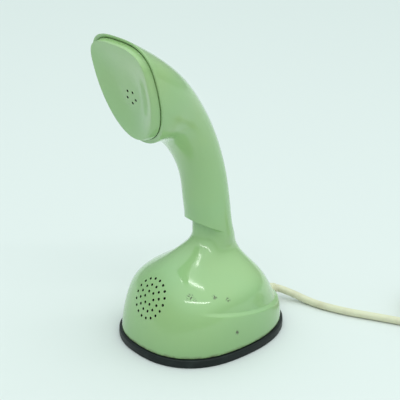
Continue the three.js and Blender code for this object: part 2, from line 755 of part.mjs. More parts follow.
// The bridge over the plunger; its ears carry the lever's pin and the contact block.
function switchBracket() {
  const { leg, top, ear, earThick, earBack } = BRACKET;
  const ears = [-1, 1].map((side) => {
    const inner = side * ear;
    const outer = side * (ear + earThick);
    return block(Math.min(inner, outer), Math.max(inner, outer), 5, earBack, 33.5, top);
  });
  const roof = block(-ear - earThick, ear + earThick, 0, earBack, top - leg, top);
  const pinHole = barX(LEVER.pin + GAP, -14, 14, LEVER.pivotY, leverZ(), 16);
  return cut(join(...bracketLegs(), roof, ...ears), pinHole);
}

function collarLow() {
  return DIAL.shaftTop + PLUNGER.travel + 0.4;
}

function leverZ() {
  return collarLow() + PLUNGER.collarThick + GAP + LEVER.thick / 2;
}

// A fork that rests on the plunger's collar, its hub, and the tail that lifts the contacts.
function switchLever() {
  const { pivotY, hub, thick, armIn, armWide } = LEVER;
  const z = leverZ();
  const low = z - thick / 2;
  const high = z + thick / 2;
  const arms = [-armIn - armWide, armIn].map((x) => block(x, x + armWide, 2, pivotY, low, high));
  const tail = block(-4, 4, pivotY, pivotY + 5, low, high);
  const barrel = barX(hub, -armIn - armWide, armIn + armWide, pivotY, z, 16);
  const bore = barX(LEVER.pin + GAP, -14, 14, pivotY, z, 16);
  return cut(join(barrel, ...arms, tail), bore);
}

function switchPin() {
  const reach = BRACKET.ear + BRACKET.earThick + 0.6;
  return barX(LEVER.pin, -reach, reach, LEVER.pivotY, leverZ(), 16);
}

function switchBladeZ(i) {
  return leverZ() + LEVER.thick / 2 + 2 + i * 1.7;
}

function switchBlock() {
  const half = BRACKET.ear - GAP;
  const body = block(-half, half, 29, 35, leverZ() - 1, BRACKET.top - BRACKET.leg - GAP);
  const slots = [0, 1].map((i) => {
    const z = switchBladeZ(i);
    return block(-3.4, 3.4, 28, 34, z - GAP, z + 0.4 + GAP);
  });
  return cut(body, ...slots);
}

function plungerButton() {
  const { buttonRadius, buttonThick } = PLUNGER;
  return turned([
    [0, 0], [buttonRadius - 0.8, 0], [buttonRadius, 0.8], [buttonRadius, buttonThick], [0, buttonThick],
  ], 32);
}

function plungerRod() {
  const { rodRadius, collarRadius, collarThick } = PLUNGER;
  const low = PLUNGER.buttonThick + GAP;
  const collar = collarLow();
  return turned([
    [0, low], [rodRadius, low], [rodRadius, collar], [collarRadius, collar],
    [collarRadius, collar + collarThick], [0, collar + collarThick],
  ], 24);
}

// The coil spring between the collar and the bridge, pushing the plunger out.
function plungerSpring() {
  const { springRadius, wireRadius, coils } = PLUNGER;
  const low = collarLow() + PLUNGER.collarThick + GAP + wireRadius;
  const high = BRACKET.top - BRACKET.leg - GAP - wireRadius;
  class Helix extends THREE.Curve {
    getPoint(t) {
      const turn = t * coils * 2 * Math.PI;
      const x = springRadius * Math.cos(turn);
      return new THREE.Vector3(x, springRadius * Math.sin(turn), lerp(low, high, t));
    }
  }
  return roundBar(new Helix(), wireRadius, coils * 10, 5);
}

// ---------------------------------------------------------------- circuit and leads

function roundBar(curve, radius, steps, sides) {
  const section = Array.from({ length: sides }, (_, i) => {
    const turn = (i / sides) * 2 * Math.PI;
    return new THREE.Vector2(radius * Math.cos(turn), radius * Math.sin(turn));
  });
  return closed(new THREE.ExtrudeGeometry(new THREE.Shape(section), {
    steps, extrudePath: curve, bevelEnabled: false,
  }));
}

function lead(points, radius, steps, sides = 6) {
  return roundBar(new THREE.CatmullRomCurve3(points, false, 'centripetal'), radius, steps, sides);
}

// A laminated core with a window, and the winding on its middle limb.
function coilCore() {
  const yoke = block(-30, -16, 22, 33, 11, 25);
  const windows = [block(-28, -24.5, 20, 35, 13.5, 22.5), block(-21.5, -18, 20, 35, 13.5, 22.5)];
  return cut(yoke, ...windows);
}

function coilWinding() {
  const body = block(-27.6, -18.4, 19.4, 35.4, 13.9, 22.1);
  return cut(body, block(-24.5 - GAP, -21.5 + GAP, 21.7, 33.3, 10, 26));
}

const CAPACITOR = { x: -36.6, z: PLATE.bottom + PLATE.thick + 6.9, radius: 5 };

function lineCapacitor() {
  const { x, z, radius } = CAPACITOR;
  const rounded = radius - 0.6;
  return turned([
    [0, 0], [rounded, 0], [radius, 0.6], [radius, 21.4], [rounded, 22], [0, 22],
  ], 20).rotateX(-Math.PI / 2).translate(x, -8, z);
}

function capacitorClip() {
  const { x, z, radius } = CAPACITOR;
  const inner = radius + GAP;
  const band = pipe(inner, inner + 0.8, 0, 6, 24).rotateX(-Math.PI / 2).translate(x, 0, z);
  const foot = block(x - 3, x + 3, 0, 6, PLATE.bottom + PLATE.thick + GAP, z - inner);
  return join(band, foot);
}

const TERMINALS = { x: 11, step: 3.2, count: 4, y: 33, z: 18 };

function terminalBlock() {
  const { x, step, count, y, z } = TERMINALS;
  const body = block(9, 22.4, y - 4, y + 4, frameTop() + GAP, z);
  const hole = (i) => disc(1, z - 4, z + 1, 10).translate(x + i * step, y, 0);
  const holes = Array.from({ length: count }, (_, i) => hole(i));
  return cut(body, ...holes);
}

function terminalScrew(i) {
  const { x, step, y, z } = TERMINALS;
  return screw(0.7, 3, 1.35, 1).rotateX(Math.PI).translate(x + i * step, y, z + 1 + GAP);
}

// From the back of the receiver, down the middle of the neck, to the terminals.
function receiverLead() {
  const spine = [190, 178, 160, 140, 120, 100, 85, 72].map((s) => {
    const [y, z] = stationCurve.evaluate(s);
    return new THREE.Vector3(0, y + 2, z);
  });
  const end = [[2, 16, 60], [10, 24, 51], [15, 31, 44], [15.5, 37.5, 30], [14, 38.6, 14]]
    .map(([x, y, z]) => new THREE.Vector3(x, y, z));
  return lead([...spine, ...end], 1.2, 30);
}

function lineLead() {
  const points = [
    new THREE.Vector3(0, 0, -RELIEF.inside - 0.7).applyMatrix4(reliefPlacement()),
    new THREE.Vector3(0.4, 45.8, 14), new THREE.Vector3(4, 42, 14), new THREE.Vector3(8.4, 39.5, 14),
  ];
  return lead(points, 1.8, 6, 8);
}

// ---------------------------------------------------------------- cord

function strainRelief() {
  const { length, rootRadius, tipRadius, flange, inside, collar } = RELIEF;
  return turned([
    [0, -inside], [flange, -inside], [flange, 1.4 - inside], [rootRadius, 1.4 - inside],
    [rootRadius, 2.2], [rootRadius + collar, 2.5], [rootRadius + collar * 0.6, 4],
    [tipRadius, length], [0, length],
  ], 24);
}

// The lie of the cord on the table, from the strain relief to the start of its coil.
const CORD_ROUTE = [
  [0, 70.5, RELIEF.z - 2.7], [0.1, 72, RELIEF.z - 3], [1.2, 73.8, RELIEF.z - 3.5],
  [3.8, 75.8, 7.5], [7.6, 77.9, 6.5], [12.3, 80.3, 5.3], [17.5, 82.2, 4.1], [23, 83.9, 3.3],
  [29, 85.4, 2.9], [36, 87.2, 2.9], [42, 89.4, 2.9], [49, 92.2, 2.9], [57, 96, 2.9],
  [66, 101, 2.9], [76, 106.6, 2.9], [86, 112, 2.9], [97.5, 118.2, 2.9],
];

function cordTube() {
  return lead(CORD_ROUTE.map((p) => new THREE.Vector3(...p)), CORD.radius, 22, CORD.sides);
}

const COIL_CENTRE = { x: 106, y: 159.5 };

function cordCoil() {
  const inner = CORD.coilInner - CORD.radius;
  const outer = CORD.coilInner + (CORD.coilTurnsAcross - 1) * CORD.coilStep + CORD.radius;
  const high = CORD.layers * CORD.coilStep;
  return pipe(inner, outer, 0.1, high, 40);
}

// A flat plug with four round prongs.
function linePlug() {
  const body = block(-13, 13, -17, 17, 0, 14);
  const neck = disc(4.5, 16, 26, 16).rotateX(-Math.PI / 2).translate(0, 0, 7);
  const prongs = [[-7, 3.5], [7, 3.5], [-7, 10.5], [7, 10.5]].map(([x, z]) => (
    disc(1.8, -32, -16, 12).rotateX(-Math.PI / 2).translate(x, 0, z)
  ));
  return join(body, neck, ...prongs);
}

// ---------------------------------------------------------------- assembly

const phone = new THREE.Group();
phone.position.y = CENTRE_Y;

function add(name, geometry, material, group = phone) {
  const mesh = new THREE.Mesh(geometry, material);
  mesh.name = name;
  group.add(mesh);
  return mesh;
}

const ear = new THREE.Group();
ear.position.set(0, EAR.y, EAR.z);
ear.rotation.x = radians(90 + EAR.lean);
phone.add(ear);

const microphone = new THREE.Group();
microphone.applyMatrix4(micDirection());
phone.add(microphone);

add('case_shell', caseShell(), mint);
add('foot_ring', footRing(), rubber);
add('base_plate', basePlate(), black);
screwPlaces().forEach(([x, y], i) => {
  const head = PLATE.bottom - GAP - BASE_SCREW.headHeight;
  const { shank, length, headHeight } = BASE_SCREW;
  add(`base_screw_${i + 1}`, screw(shank, length, BASE_SCREW.head, headHeight), steel)
    .position.set(x, y, head);
});

add('ear_cap', earCap(), mint, ear);
add('receiver_gasket', receiverGasket(), felt, ear).position.y = RECEIVER.lift;
add('receiver_capsule', receiverCapsule(), black, ear).position.y = RECEIVER.lift;
add('receiver_clip', receiverClip(), steel, ear).position.y = RECEIVER.lift;
[-1, 1].forEach((side, i) => {
  add(`receiver_screw_${i + 1}`, receiverScrew(), steel, ear)
    .position.set(side * RECEIVER.screwX, RECEIVER.lift, 0);
});
add('receiver_lead', receiverLead(), cream);

add('microphone_felt', microphoneFelt(), felt, microphone);
add('microphone_capsule', microphoneCapsule(), steel, microphone);
add('microphone_holder', microphoneHolder(), black);

add('dial_number_ring', numberRing(), white);
add('dial_finger_wheel', fingerWheel(), white);
add('dial_finger_stop', fingerStop(), steel);
add('dial_shaft', dialShaft(), brass);
add('dial_main_gear', mainGear(), brass);
add('dial_return_spring', returnSpring(), spring);
add('dial_frame', dialFrame(), steel);
dialScrewPlaces().forEach(([x, y], i) => {
  add(`dial_screw_${i + 1}`, screw(1.2, 3, 2.4, 1.4).rotateX(Math.PI), steel)
    .position.set(x, y, frameTop() + GAP + 1.4);
});

add('governor_arbor', governorArbor(), brass);
add('governor_spindle', governorSpindle(), steel);
add('governor_weight_1', governorWeight(1), brass);
add('governor_weight_2', governorWeight(-1), brass);
add('governor_cup', governorCup(), brass);
add('governor_bracket', governorBracket(), steel);

add('pulse_cam', pulseCam(), black);
add('pulse_contact_block', block(-30, -24.4, -18, -10, frameTop() + GAP, 28), black);
add('pulse_blade_1', blade(-24, -13, -15.4, -1.6, 0.4, CAM.z, CAM.z + 1.4), spring);
add('pulse_blade_2', blade(-24, -10.6, -17.4, -1.6, 0.4, CAM.z, CAM.z + 1.4), spring);

add('plunger_button', plungerButton(), red);
add('plunger_rod', plungerRod(), white);
add('plunger_spring', plungerSpring(), spring);
add('switch_bracket', switchBracket(), steel);
add('switch_lever', switchLever(), steel);
add('switch_lever_pin', switchPin(), steel);
add('switch_block', switchBlock(), black);
[0, 1].forEach((i) => {
  const z = switchBladeZ(i);
  add(`switch_blade_${i + 1}`, block(-3, 3, 21, 33.6, z, z + 0.4), spring);
});

add('induction_coil_core', coilCore(), steel);
add('induction_coil_winding', coilWinding(), copper);
add('line_capacitor', lineCapacitor(), brass);
add('capacitor_clip', capacitorClip(), steel);
add('terminal_block', terminalBlock(), black);
for (let i = 0; i < TERMINALS.count; i += 1) add(`terminal_screw_${i + 1}`, terminalScrew(i), brass);
add('line_lead', lineLead(), cream);

add('strain_relief', strainRelief().applyMatrix4(reliefPlacement()), cream);
add('cord_tube', cordTube(), cream);
add('cord_coil', cordCoil(), cream).position.set(COIL_CENTRE.x, COIL_CENTRE.y, 0);
add('line_plug', linePlug(), cream)
  .position.set(COIL_CENTRE.x, COIL_CENTRE.y, CORD.layers * CORD.coilStep + GAP);

export default phone;
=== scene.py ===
# %% [markdown]
# # A one-piece desk telephone
# Base, neck and head are one moulded case. The receiver is behind the ear cap, the microphone is
# behind a ring of small holes in the front, and the dial is underneath, round a plunger that
# hangs up when the telephone stands. The working frame comes first, because every piece made
# here has to sit where the mechanism puts it.

# %% Load the frame
import json
import math
from bisect import bisect_right

import bpy
from mathutils import Matrix, Vector


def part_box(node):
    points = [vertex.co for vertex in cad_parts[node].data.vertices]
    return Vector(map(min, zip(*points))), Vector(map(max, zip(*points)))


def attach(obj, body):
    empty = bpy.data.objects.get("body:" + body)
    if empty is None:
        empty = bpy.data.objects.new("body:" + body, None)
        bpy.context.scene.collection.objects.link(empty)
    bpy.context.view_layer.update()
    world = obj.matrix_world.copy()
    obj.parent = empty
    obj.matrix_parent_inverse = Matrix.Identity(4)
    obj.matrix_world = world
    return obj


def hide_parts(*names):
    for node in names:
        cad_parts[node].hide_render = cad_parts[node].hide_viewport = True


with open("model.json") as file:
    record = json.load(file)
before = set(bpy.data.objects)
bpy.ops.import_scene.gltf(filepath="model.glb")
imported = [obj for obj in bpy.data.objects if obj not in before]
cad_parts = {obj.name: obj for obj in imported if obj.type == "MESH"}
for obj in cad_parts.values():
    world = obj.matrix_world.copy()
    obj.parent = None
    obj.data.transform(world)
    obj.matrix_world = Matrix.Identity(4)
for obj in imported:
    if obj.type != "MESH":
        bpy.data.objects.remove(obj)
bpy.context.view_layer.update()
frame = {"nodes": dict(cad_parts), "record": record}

nodes = frame["nodes"]
MM = 0.001
joints = {joint["name"]: joint for joint in frame["record"]["behaviour"]["joints"]}
dial_y = joints["dial_turn"]["pos_m"][1] / MM
print("nodes", len(nodes), "dial axis at y", round(dial_y, 2), "mm")

# %% [markdown]
# ## Camera
# The camera stands well back, to the right of the front and above the head. A short lens close by
# would frame the telephone too, but it would swell the head, which is nearest to it. The long
# lens keeps the upright lines nearly parallel. The view transform is Standard, so that colours
# stay as they are given.

# %% Camera
camera_data = bpy.data.cameras.new("camera")
camera_data.sensor_width = 36
camera_data.lens = 107.55
camera = bpy.data.objects.new("camera", camera_data)
camera.location = Vector((586.7, -487.8 + dial_y, 419.5)) * MM
camera.rotation_euler = (math.radians(67.28), 0, math.radians(50.4))
bpy.context.collection.objects.link(camera)
bpy.context.scene.camera = camera
bpy.context.scene.view_settings.view_transform = "Standard"
print("camera", [round(v, 3) for v in camera.location])

# %% [markdown]
# ## Small helpers
# Operators act on whatever is selected, so each step starts with nothing selected. A finished
# piece has its object at the origin and its place in its mesh, as the frame's own nodes have.

# %% Helpers for objects
def select_only(*objects):
    bpy.ops.object.select_all(action="DESELECT")
    for obj in objects:
        obj.select_set(True)
    bpy.context.view_layer.objects.active = objects[0]


def settle(obj, name, smooth_angle=40):
    select_only(obj)
    bpy.ops.object.transform_apply(location=True, rotation=True, scale=True)
    bpy.ops.object.shade_smooth_by_angle(angle=math.radians(smooth_angle))
    obj.name = name
    obj.data.name = name
    return obj


def tidy_mesh(obj, distance=1e-6):
    select_only(obj)
    bpy.ops.object.mode_set(mode="EDIT")
    bpy.ops.mesh.select_all(action="SELECT")
    bpy.ops.mesh.remove_doubles(threshold=distance)
    bpy.ops.mesh.normals_make_consistent(inside=False)
    bpy.ops.object.mode_set(mode="OBJECT")


def apply_modifier(obj, kind, **settings):
    select_only(obj)
    modifier = obj.modifiers.new(kind.lower(), kind)
    for key, value in settings.items():
        setattr(modifier, key, value)
    bpy.ops.object.modifier_apply(modifier=modifier.name)


def select_faces(obj, wanted):
    """In edit mode, selects the faces whose centre and normal the test accepts."""
    bpy.ops.object.mode_set(mode="OBJECT")
    for face in obj.data.polygons:
        face.select = wanted(face.center, face.normal)
    for edge in obj.data.edges:
        edge.select = False
    for vertex in obj.data.vertices:
        vertex.select = False
    for face in obj.data.polygons:
        if face.select:
            for index in face.vertices:
                obj.data.vertices[index].select = True
    bpy.ops.object.mode_set(mode="EDIT")


def drill(obj, cutters):
    """Cuts the cutters out of the piece, and deletes them."""
    select_only(*cutters)
    if len(cutters) > 1:
        bpy.ops.object.join()
    cutter = bpy.context.view_layer.objects.active
    apply_modifier(obj, "BOOLEAN", object=cutter, operation="DIFFERENCE", solver="EXACT")
    bpy.data.objects.remove(cutter)


def cylinder(radius, low, high, sides=32, x=0, y=0):
    """An upright cylinder between two heights, all in millimetres."""
    bpy.ops.object.select_all(action="DESELECT")
    bpy.ops.mesh.primitive_cylinder_add(
        vertices=sides, radius=radius * MM, depth=(high - low) * MM,
        location=(x * MM, y * MM, (low + high) / 2 * MM),
    )
    return bpy.context.view_layer.objects.active


# %% [markdown]
# ## The line cord
# A limp round cord leaves the strain relief at the back, comes down to the table and runs
# off to the right. The rest is put away in a neat round coil: three turns beside each other in
# three layers, wound in, out and in again, with the plug lying on top.

# %% Route of the cord
CORD_RADIUS = 2.75
route = [  # middle of the cord, from inside the strain relief to the coil
    (0, 70.5, 9.1), (0.1, 72, 8.8), (1.2, 73.8, 8.3), (3.8, 75.8, 7.5), (7.6, 77.9, 6.5),
    (12.3, 80.3, 5.3), (17.5, 82.2, 4.1), (23, 83.9, 3.3), (29, 85.4, 2.9), (36, 87.2, 2.9),
    (42, 89.4, 2.9), (49, 92.2, 2.9), (57, 96, 2.9), (66, 101, 2.9), (76, 106.6, 2.9),
    (86, 112, 2.9), (97.5, 118.2, 2.9),
]
coil_low, coil_high = (Vector(corner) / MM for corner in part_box("cord_coil"))
coil_x = (coil_low.x + coil_high.x) / 2
coil_y = (coil_low.y + coil_high.y) / 2
cord_points = [Vector((x, y + dial_y, z)) for x, y, z in route]
print("coil middle", round(coil_x, 1), round(coil_y, 1))

# %% Turns of the coil
COIL_RADII = [35.5, 30, 24.5]
LAYER_HEIGHTS = [2.8, 8.3, 13.8]
POINTS_PER_TURN = 24
STEP_SHARE = 0.17        # the part of a turn in which the cord steps to the next one


def coil_turns():
    """Radius and height of each turn, in the order in which it is wound."""
    turns = []
    for layer, height in enumerate(LAYER_HEIGHTS):
        radii = COIL_RADII if layer % 2 == 0 else COIL_RADII[::-1]
        turns += [(radius, height) for radius in radii]
    return turns


def smooth(value, low, high):
    share = min(1, max(0, (value - low) / (high - low)))
    return share * share * (3 - 2 * share)


turns = coil_turns()
for extra in [(2, -37.3), (10, -34.4)]:
    cord_points.append(Vector((coil_x + extra[0], coil_y + extra[1], LAYER_HEIGHTS[0])))
last_points = POINTS_PER_TURN - 1
for number, (radius, height) in enumerate(turns):
    after = turns[min(number + 1, len(turns) - 1)]
    count = POINTS_PER_TURN if number < len(turns) - 1 else last_points
    for i in range(count):
        share = i / POINTS_PER_TURN
        step = smooth(share, 1 - STEP_SHARE, 1)
        turn = math.radians(-60) + share * 2 * math.pi
        r = radius + (after[0] - radius) * step
        z = height + (after[1] - height) * step
        cord_points.append(Vector((coil_x + r * math.cos(turn), coil_y + r * math.sin(turn), z)))

# %% [markdown]
# The end of the cord leaves the innermost turn, climbs over the coil and runs round into the
# neck of the plug in one wide loop. A tighter loop would look kinked.

# %% End of the cord, over the coil and into the plug
plug_low, plug_high = (Vector(corner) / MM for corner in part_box("line_plug"))
neck_z = (plug_low.z + plug_high.z) / 2
tail = [
    (16, -19.4, 15.6), (22.3, -12, 17.8), (25.4, -2, 19.3), (26.4, 9, 19.4), (26.6, 20, 19.6),
    (25.8, 30, 20.4), (21.6, 38.4, 21.4), (13.6, 42.2, 22.5), (5.2, 39.4, 23.4),
    (0.8, 33, neck_z), (0, 27, neck_z), (0, 22, neck_z),
]
cord_points += [Vector((coil_x + x, coil_y + y, z)) for x, y, z in tail]

# %% [markdown]
# A cord could be a swept mesh, but a curve with a round bevel keeps its one middle line, which
# is what its length is measured on. The handles are automatic, so no knot makes a corner.

# %% Cord as a curve
cord_curve = bpy.data.curves.new("line_cord", "CURVE")
cord_curve.dimensions = "3D"
spline = cord_curve.splines.new("BEZIER")
spline.bezier_points.add(len(cord_points) - 1)
for knot, point in zip(spline.bezier_points, cord_points):
    knot.co = point * MM
    knot.handle_left_type = "AUTO"
    knot.handle_right_type = "AUTO"
    knot.radius = CORD_RADIUS * MM
cord_curve.resolution_u = 3
cord_curve.bevel_depth = 1        # times the radius of each point
cord_curve.bevel_resolution = 6
cord_curve.use_fill_caps = True
line_cord = bpy.data.objects.new("line_cord", cord_curve)
bpy.context.collection.objects.link(line_cord)
cord_length = sum((b - a).length for a, b in zip(cord_points, cord_points[1:])) * MM
print("cord", len(cord_points), "points,", round(cord_length, 3), "m between them")

# %% [markdown]
# ## Wrapping a sheet of faces
# The case has no straight line in it, so no box or ball is a good start. A flat grid is, if it is
# bent round: across it runs the angle round the case, and along it runs the path up the outside,
# over the lip and down the inside. One function says where each point of the grid goes.

# %% Wrap
def wrap(name, columns, path_at, place):
    """Bends a grid round: `path_at(angle)` gives the steps along it, `place` puts each one."""
    paths = []
    for column in range(columns + 1):
        angle = 2 * math.pi * (column % columns) / columns
        paths.append([place(angle, *step) for step in path_at(angle)])
    rows = len(paths[0]) - 1
    bpy.ops.object.select_all(action="DESELECT")
    bpy.ops.mesh.primitive_grid_add(x_subdivisions=columns, y_subdivisions=rows, size=1)
    obj = bpy.context.view_layer.objects.active
    for vertex in obj.data.vertices:
        column = round((vertex.co.x + 0.5) * columns)
        row = round((vertex.co.y + 0.5) * rows)
        vertex.co = paths[column][row] * MM
    tidy_mesh(obj)
    obj.name = name
    print(name, columns, "x", rows, "faces")
    return obj


def oval(angle, width, front, rear, square_front, square_rear):
    """A point of an oval whose halves differ. The angle runs from the front, towards +X."""
    c, s = math.cos(angle), math.sin(angle)
    n = square_front if c > 0 else square_rear
    across = math.copysign(width * abs(s) ** (2 / n), s)
    along = (-front if c > 0 else rear) * abs(c) ** (2 / n)
    return across, along


# %% [markdown]
# ## The case
# The case is one moulding, from the skirt over the dome and the neck to the head. It is a row of
# ovals along a bent spine, and a smooth curve through their sizes gives every oval between them.
# Subdividing a rough cage would be quicker, but then no size could be read off. Two details sit
# on that form: a soft ledge low round the sides and the rear, where the skirt stands proud of
# the dome, and the notch in the front of the neck, where the hand rest hangs over its root.

# %% Sizes of the case
WALL = 2.4
GAP = 0.3
PLATE_BOTTOM = 6.3
STATIONS = [  # along the spine, its y and z, tilt, half width, front, rear, squareness of both
    (6, -7, 6, 0, 48.8, 51.1, 65.2, 2.33, 2.35),
    (14, -7, 14, 0, 48.8, 49.6, 64.8, 2.33, 2.35),
    (24, -6.5, 24, 0, 48.4, 47.3, 61.1, 2.33, 2.33),
    (34, -5.4, 34, 0, 46.8, 45, 54.6, 2.3, 2.3),
    (44, -3.7, 44, 0, 41.2, 42, 44.8, 2.25, 2.25),
    (52, -2.2, 52, 0, 30.8, 37.3, 36, 2.2, 2.2),
    (60, 2, 60, 0, 19.4, 30.8, 26.5, 2.15, 2.15),
    (66, 5.9, 66, 0, 15.4, 23, 20.4, 2.1, 2.1),
    (72, 7.9, 72, 0, 15.7, 20.6, 16.6, 2.1, 2.1),
    (79, 7.2, 79, 0, 16.4, 19.2, 14.7, 2.1, 2.1),
    (86, 5.2, 86, 0, 16.7, 16.4, 15.4, 2.1, 2.1),
    (100, 3.3, 99.8, 4, 16.6, 15.8, 15.5, 2.1, 2.1),
    (119, 0.4, 117.8, 12, 16.7, 15, 15.2, 2.1, 2.1),
    (139, -5.7, 136.4, 23, 17.7, 14.7, 15.8, 2.1, 2.1),
    (159, -15.4, 154.6, 38, 20.3, 16.2, 17.1, 2.1, 2.2),
    (181, -28.2, 171.4, 58, 24.6, 21, 19.5, 2.1, 2.4),
    (203, -43.4, 184.2, 82, 30.2, 29.5, 25.2, 2.1, 2.7),
]
EAR_Y, EAR_Z, EAR_LEAN = -59.1, 186.8, math.radians(13.9)
SEAM = (12, 30.6, 42, 27.3, 2.15, 3)         # rise, half width, below, above, squareness of each
CREST = (18, 28.2, 46.5, 21, 2, 3.1)
DISH = (1, 8, 9, 9, 2, 2)
MOUTH_DEPTH = 0.3


def mouth_station():
    rise, width, below, above, square_below, square_above = SEAM
    out = WALL + GAP
    y = EAR_Y - rise * math.sin(EAR_LEAN) + MOUTH_DEPTH * math.cos(EAR_LEAN)
    z = EAR_Z + rise * math.cos(EAR_LEAN) + MOUTH_DEPTH * math.sin(EAR_LEAN)
    tilt = 90 + math.degrees(EAR_LEAN)
    return (226, y, z, tilt, width + out, below + out, above + out, square_below, square_above)


STATIONS.append(mouth_station())
MOUTH = STATIONS[-1][0]

# %% [markdown]
# A glossy surface shows every change of curvature, so the curve through the stations is a
# natural cubic spline, whose curvature runs on smoothly through each of them.

# %% The curve through the stations
def spline_bends(knots, values):
    """Second derivatives of the natural cubic spline through the values."""
    n = len(knots)
    bend = [0.0] * n
    share = [0.0] * n
    for i in range(1, n - 1):
        before, after = knots[i] - knots[i - 1], knots[i + 1] - knots[i]
        jump = (values[i + 1] - values[i]) / after - (values[i] - values[i - 1]) / before
        pivot = 2 * (before + after) - before * share[i - 1]
        share[i] = after / pivot
        bend[i] = (6 * jump - before * bend[i - 1]) / pivot
    for i in range(n - 2, 0, -1):
        bend[i] -= share[i] * bend[i + 1]
    return bend


knots = [row[0] for row in STATIONS]
columns = list(zip(*[row[1:] for row in STATIONS]))
bends = [spline_bends(knots, column) for column in columns]


def station(s):
    i = min(max(bisect_right(knots, s) - 1, 0), len(knots) - 2)
    width = knots[i + 1] - knots[i]
    a, b = (knots[i + 1] - s) / width, (s - knots[i]) / width
    inside = min(1, max(0, b))
    ends = (inside - inside ** 3, (1 - inside) - (1 - inside) ** 3)
    return [
        a * column[i] + b * column[i + 1]
        - (ends[1] * bend[i] + ends[0] * bend[i + 1]) * width * width / 6
        for column, bend in zip(columns, bends)
    ]


def case_point(angle, s, grow=0):
    y, z, tilt, width, front, rear, square_front, square_rear = station(s)
    across, along = oval(
        angle, width + grow, front + grow, rear + grow, square_front, square_rear,
    )
    lean = math.radians(tilt)
    return Vector((across, dial_y + y + along * math.cos(lean), z + along * math.sin(lean)))


print("case at the neck", [round(v, 1) for v in case_point(0, 100)])

# %% Ledge and notch
CREASE_HEIGHT, CREASE_SLOPE, CREASE_INSET, CREASE_GONE = 29.9, 0.19, 2.2, 52
NOTCH_HEIGHT, NOTCH_SLOPE, NOTCH_DEPTH = 81.7, 0.5, 5.5


def inset(angle, s):
    """How far the dome is set in from the skirt: nothing at the front, and less higher up."""
    turn = math.degrees(math.acos(math.cos(angle)))
    return CREASE_INSET * smooth(turn, 50, 80) * (1 - smooth(s, CREASE_HEIGHT, CREASE_GONE))


def setback(angle, s):
    """How far the front of the neck's root is set back under the notch."""
    return NOTCH_DEPTH * smooth(math.cos(angle), 0, 0.75) * smooth(s, 62, 76)


def crease_at(angle):
    return CREASE_HEIGHT - CREASE_SLOPE * (case_point(angle, 26).y - dial_y)


def notch_at(angle):
    return NOTCH_HEIGHT - NOTCH_SLOPE * (case_point(angle, 84).y - dial_y)


# %% [markdown]
# Each column of the grid follows one path: up the skirt, over the rounded ledge, up the dome,
# out over the lip of the notch, up the neck to the mouth, over its rounded edge and back down
# inside. Steps are close together where an edge is, and far apart where nothing happens.

# %% Path up the case
INSIDE = [
    226, 214, 203, 192, 181, 170, 159, 149, 139, 119, 100, 90, 82, 74, 67, 60, 54, 48, 40, 30, 20,
]


def span(start, end, count):
    return [start + (end - start) * i / count for i in range(count)]


def case_path(angle):
    crease, notch = crease_at(angle), notch_at(angle)
    path = [(PLATE_BOTTOM, -0.6), (PLATE_BOTTOM + 0.15, -0.2), (PLATE_BOTTOM + 0.6, 0)]
    path += [(s, 0) for s in span(8, crease - 0.8, 12)]
    for share in span(0, 1, 12):
        s = crease - 0.8 + 2.8 * share
        path.append((s, -inset(angle, s) * smooth(share, 0.08, 0.92)))
    for s in span(crease + 2, notch - 2.2, 40):
        path.append((s, -inset(angle, s) - setback(angle, s)))
    lip = [
        (-2.2, 1), (-1.5, 1), (-0.9, 0.99), (-0.45, 0.95), (-0.15, 0.86), (0.05, 0.7),
        (0.2, 0.48), (0.32, 0.27), (0.45, 0.13), (0.65, 0.045), (0.95, 0.01), (1.4, 0),
    ]
    path += [(notch + step, -setback(angle, notch) * share) for step, share in lip]
    path += [(s, 0) for s in span(notch + 2.2, MOUTH - 0.6, 96)]
    rim = [(-0.6, 0), (-0.1, -0.08), (0.3, -0.35), (0.5, -0.8)]
    rim += [(0.55, -1.3), (0.45, -1.8), (0.2, -2.2)]
    path += [(MOUTH + step, grow) for step, grow in rim]
    for s in INSIDE:
        back = setback(angle, s) * (1 - smooth(s, NOTCH_HEIGHT, 94))
        path.append((s, -WALL - back - inset(angle, s)))
    path.append((PLATE_BOTTOM, -WALL - inset(angle, PLATE_BOTTOM)))
    path.append(path[0])
    return path


case = wrap("case", 192, case_path, case_point)

# %% [markdown]
# Thirty-six small holes let the voice in, in rings of 6, 12 and 18. A mould makes such holes
# with parallel pins, so here they are parallel cylinders, joined and cut out together, square to
# the front of the dome. The last hole is the one for the cord, low at the back.

# %% Holes in the case
MIC_Y, MIC_Z, MIC_LEAN = -47.9, 40, math.radians(33.1)
MIC_RINGS = [(4.6, 6, 0), (9.2, 12, 15), (13.9, 18, 0)]
mic_frame = (
    Matrix.Translation(Vector((0, MIC_Y + dial_y, MIC_Z)) * MM)
    @ Matrix.Rotation(math.pi / 2 - MIC_LEAN, 4, "X")
)
MIC_HOLE = 0.98
PIN_BACK, PIN_FRONT, PIN_SIDES = -9, 5, 14
mic_holes = []
for radius, count, phase in MIC_RINGS:
    for i in range(count):
        turn = math.radians(phase + i * 360 / count)
        mic_holes.append((radius * math.cos(turn), radius * math.sin(turn)))
pins = []
for x, y in mic_holes:
    pin = cylinder(MIC_HOLE, PIN_BACK, PIN_FRONT, PIN_SIDES, x, y)
    pin.matrix_world = mic_frame @ pin.matrix_world
    pins.append(pin)

RELIEF_Y, RELIEF_Z, RELIEF_DROP = 58.2, 11.8, math.radians(12)
relief_frame = (
    Matrix.Translation(Vector((0, RELIEF_Y + dial_y, RELIEF_Z)) * MM)
    @ Matrix.Rotation(-math.pi / 2 - RELIEF_DROP, 4, "X")
)
CORD_HOLE = 4.7
cord_hole = cylinder(CORD_HOLE, -12, 6, 40)
cord_hole.matrix_world = relief_frame @ cord_hole.matrix_world
drill(case, pins)
drill(case, [cord_hole])
settle(case, "case", 35)
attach(case, "root")
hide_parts("case_shell")
print("case", len(case.data.polygons), "faces")

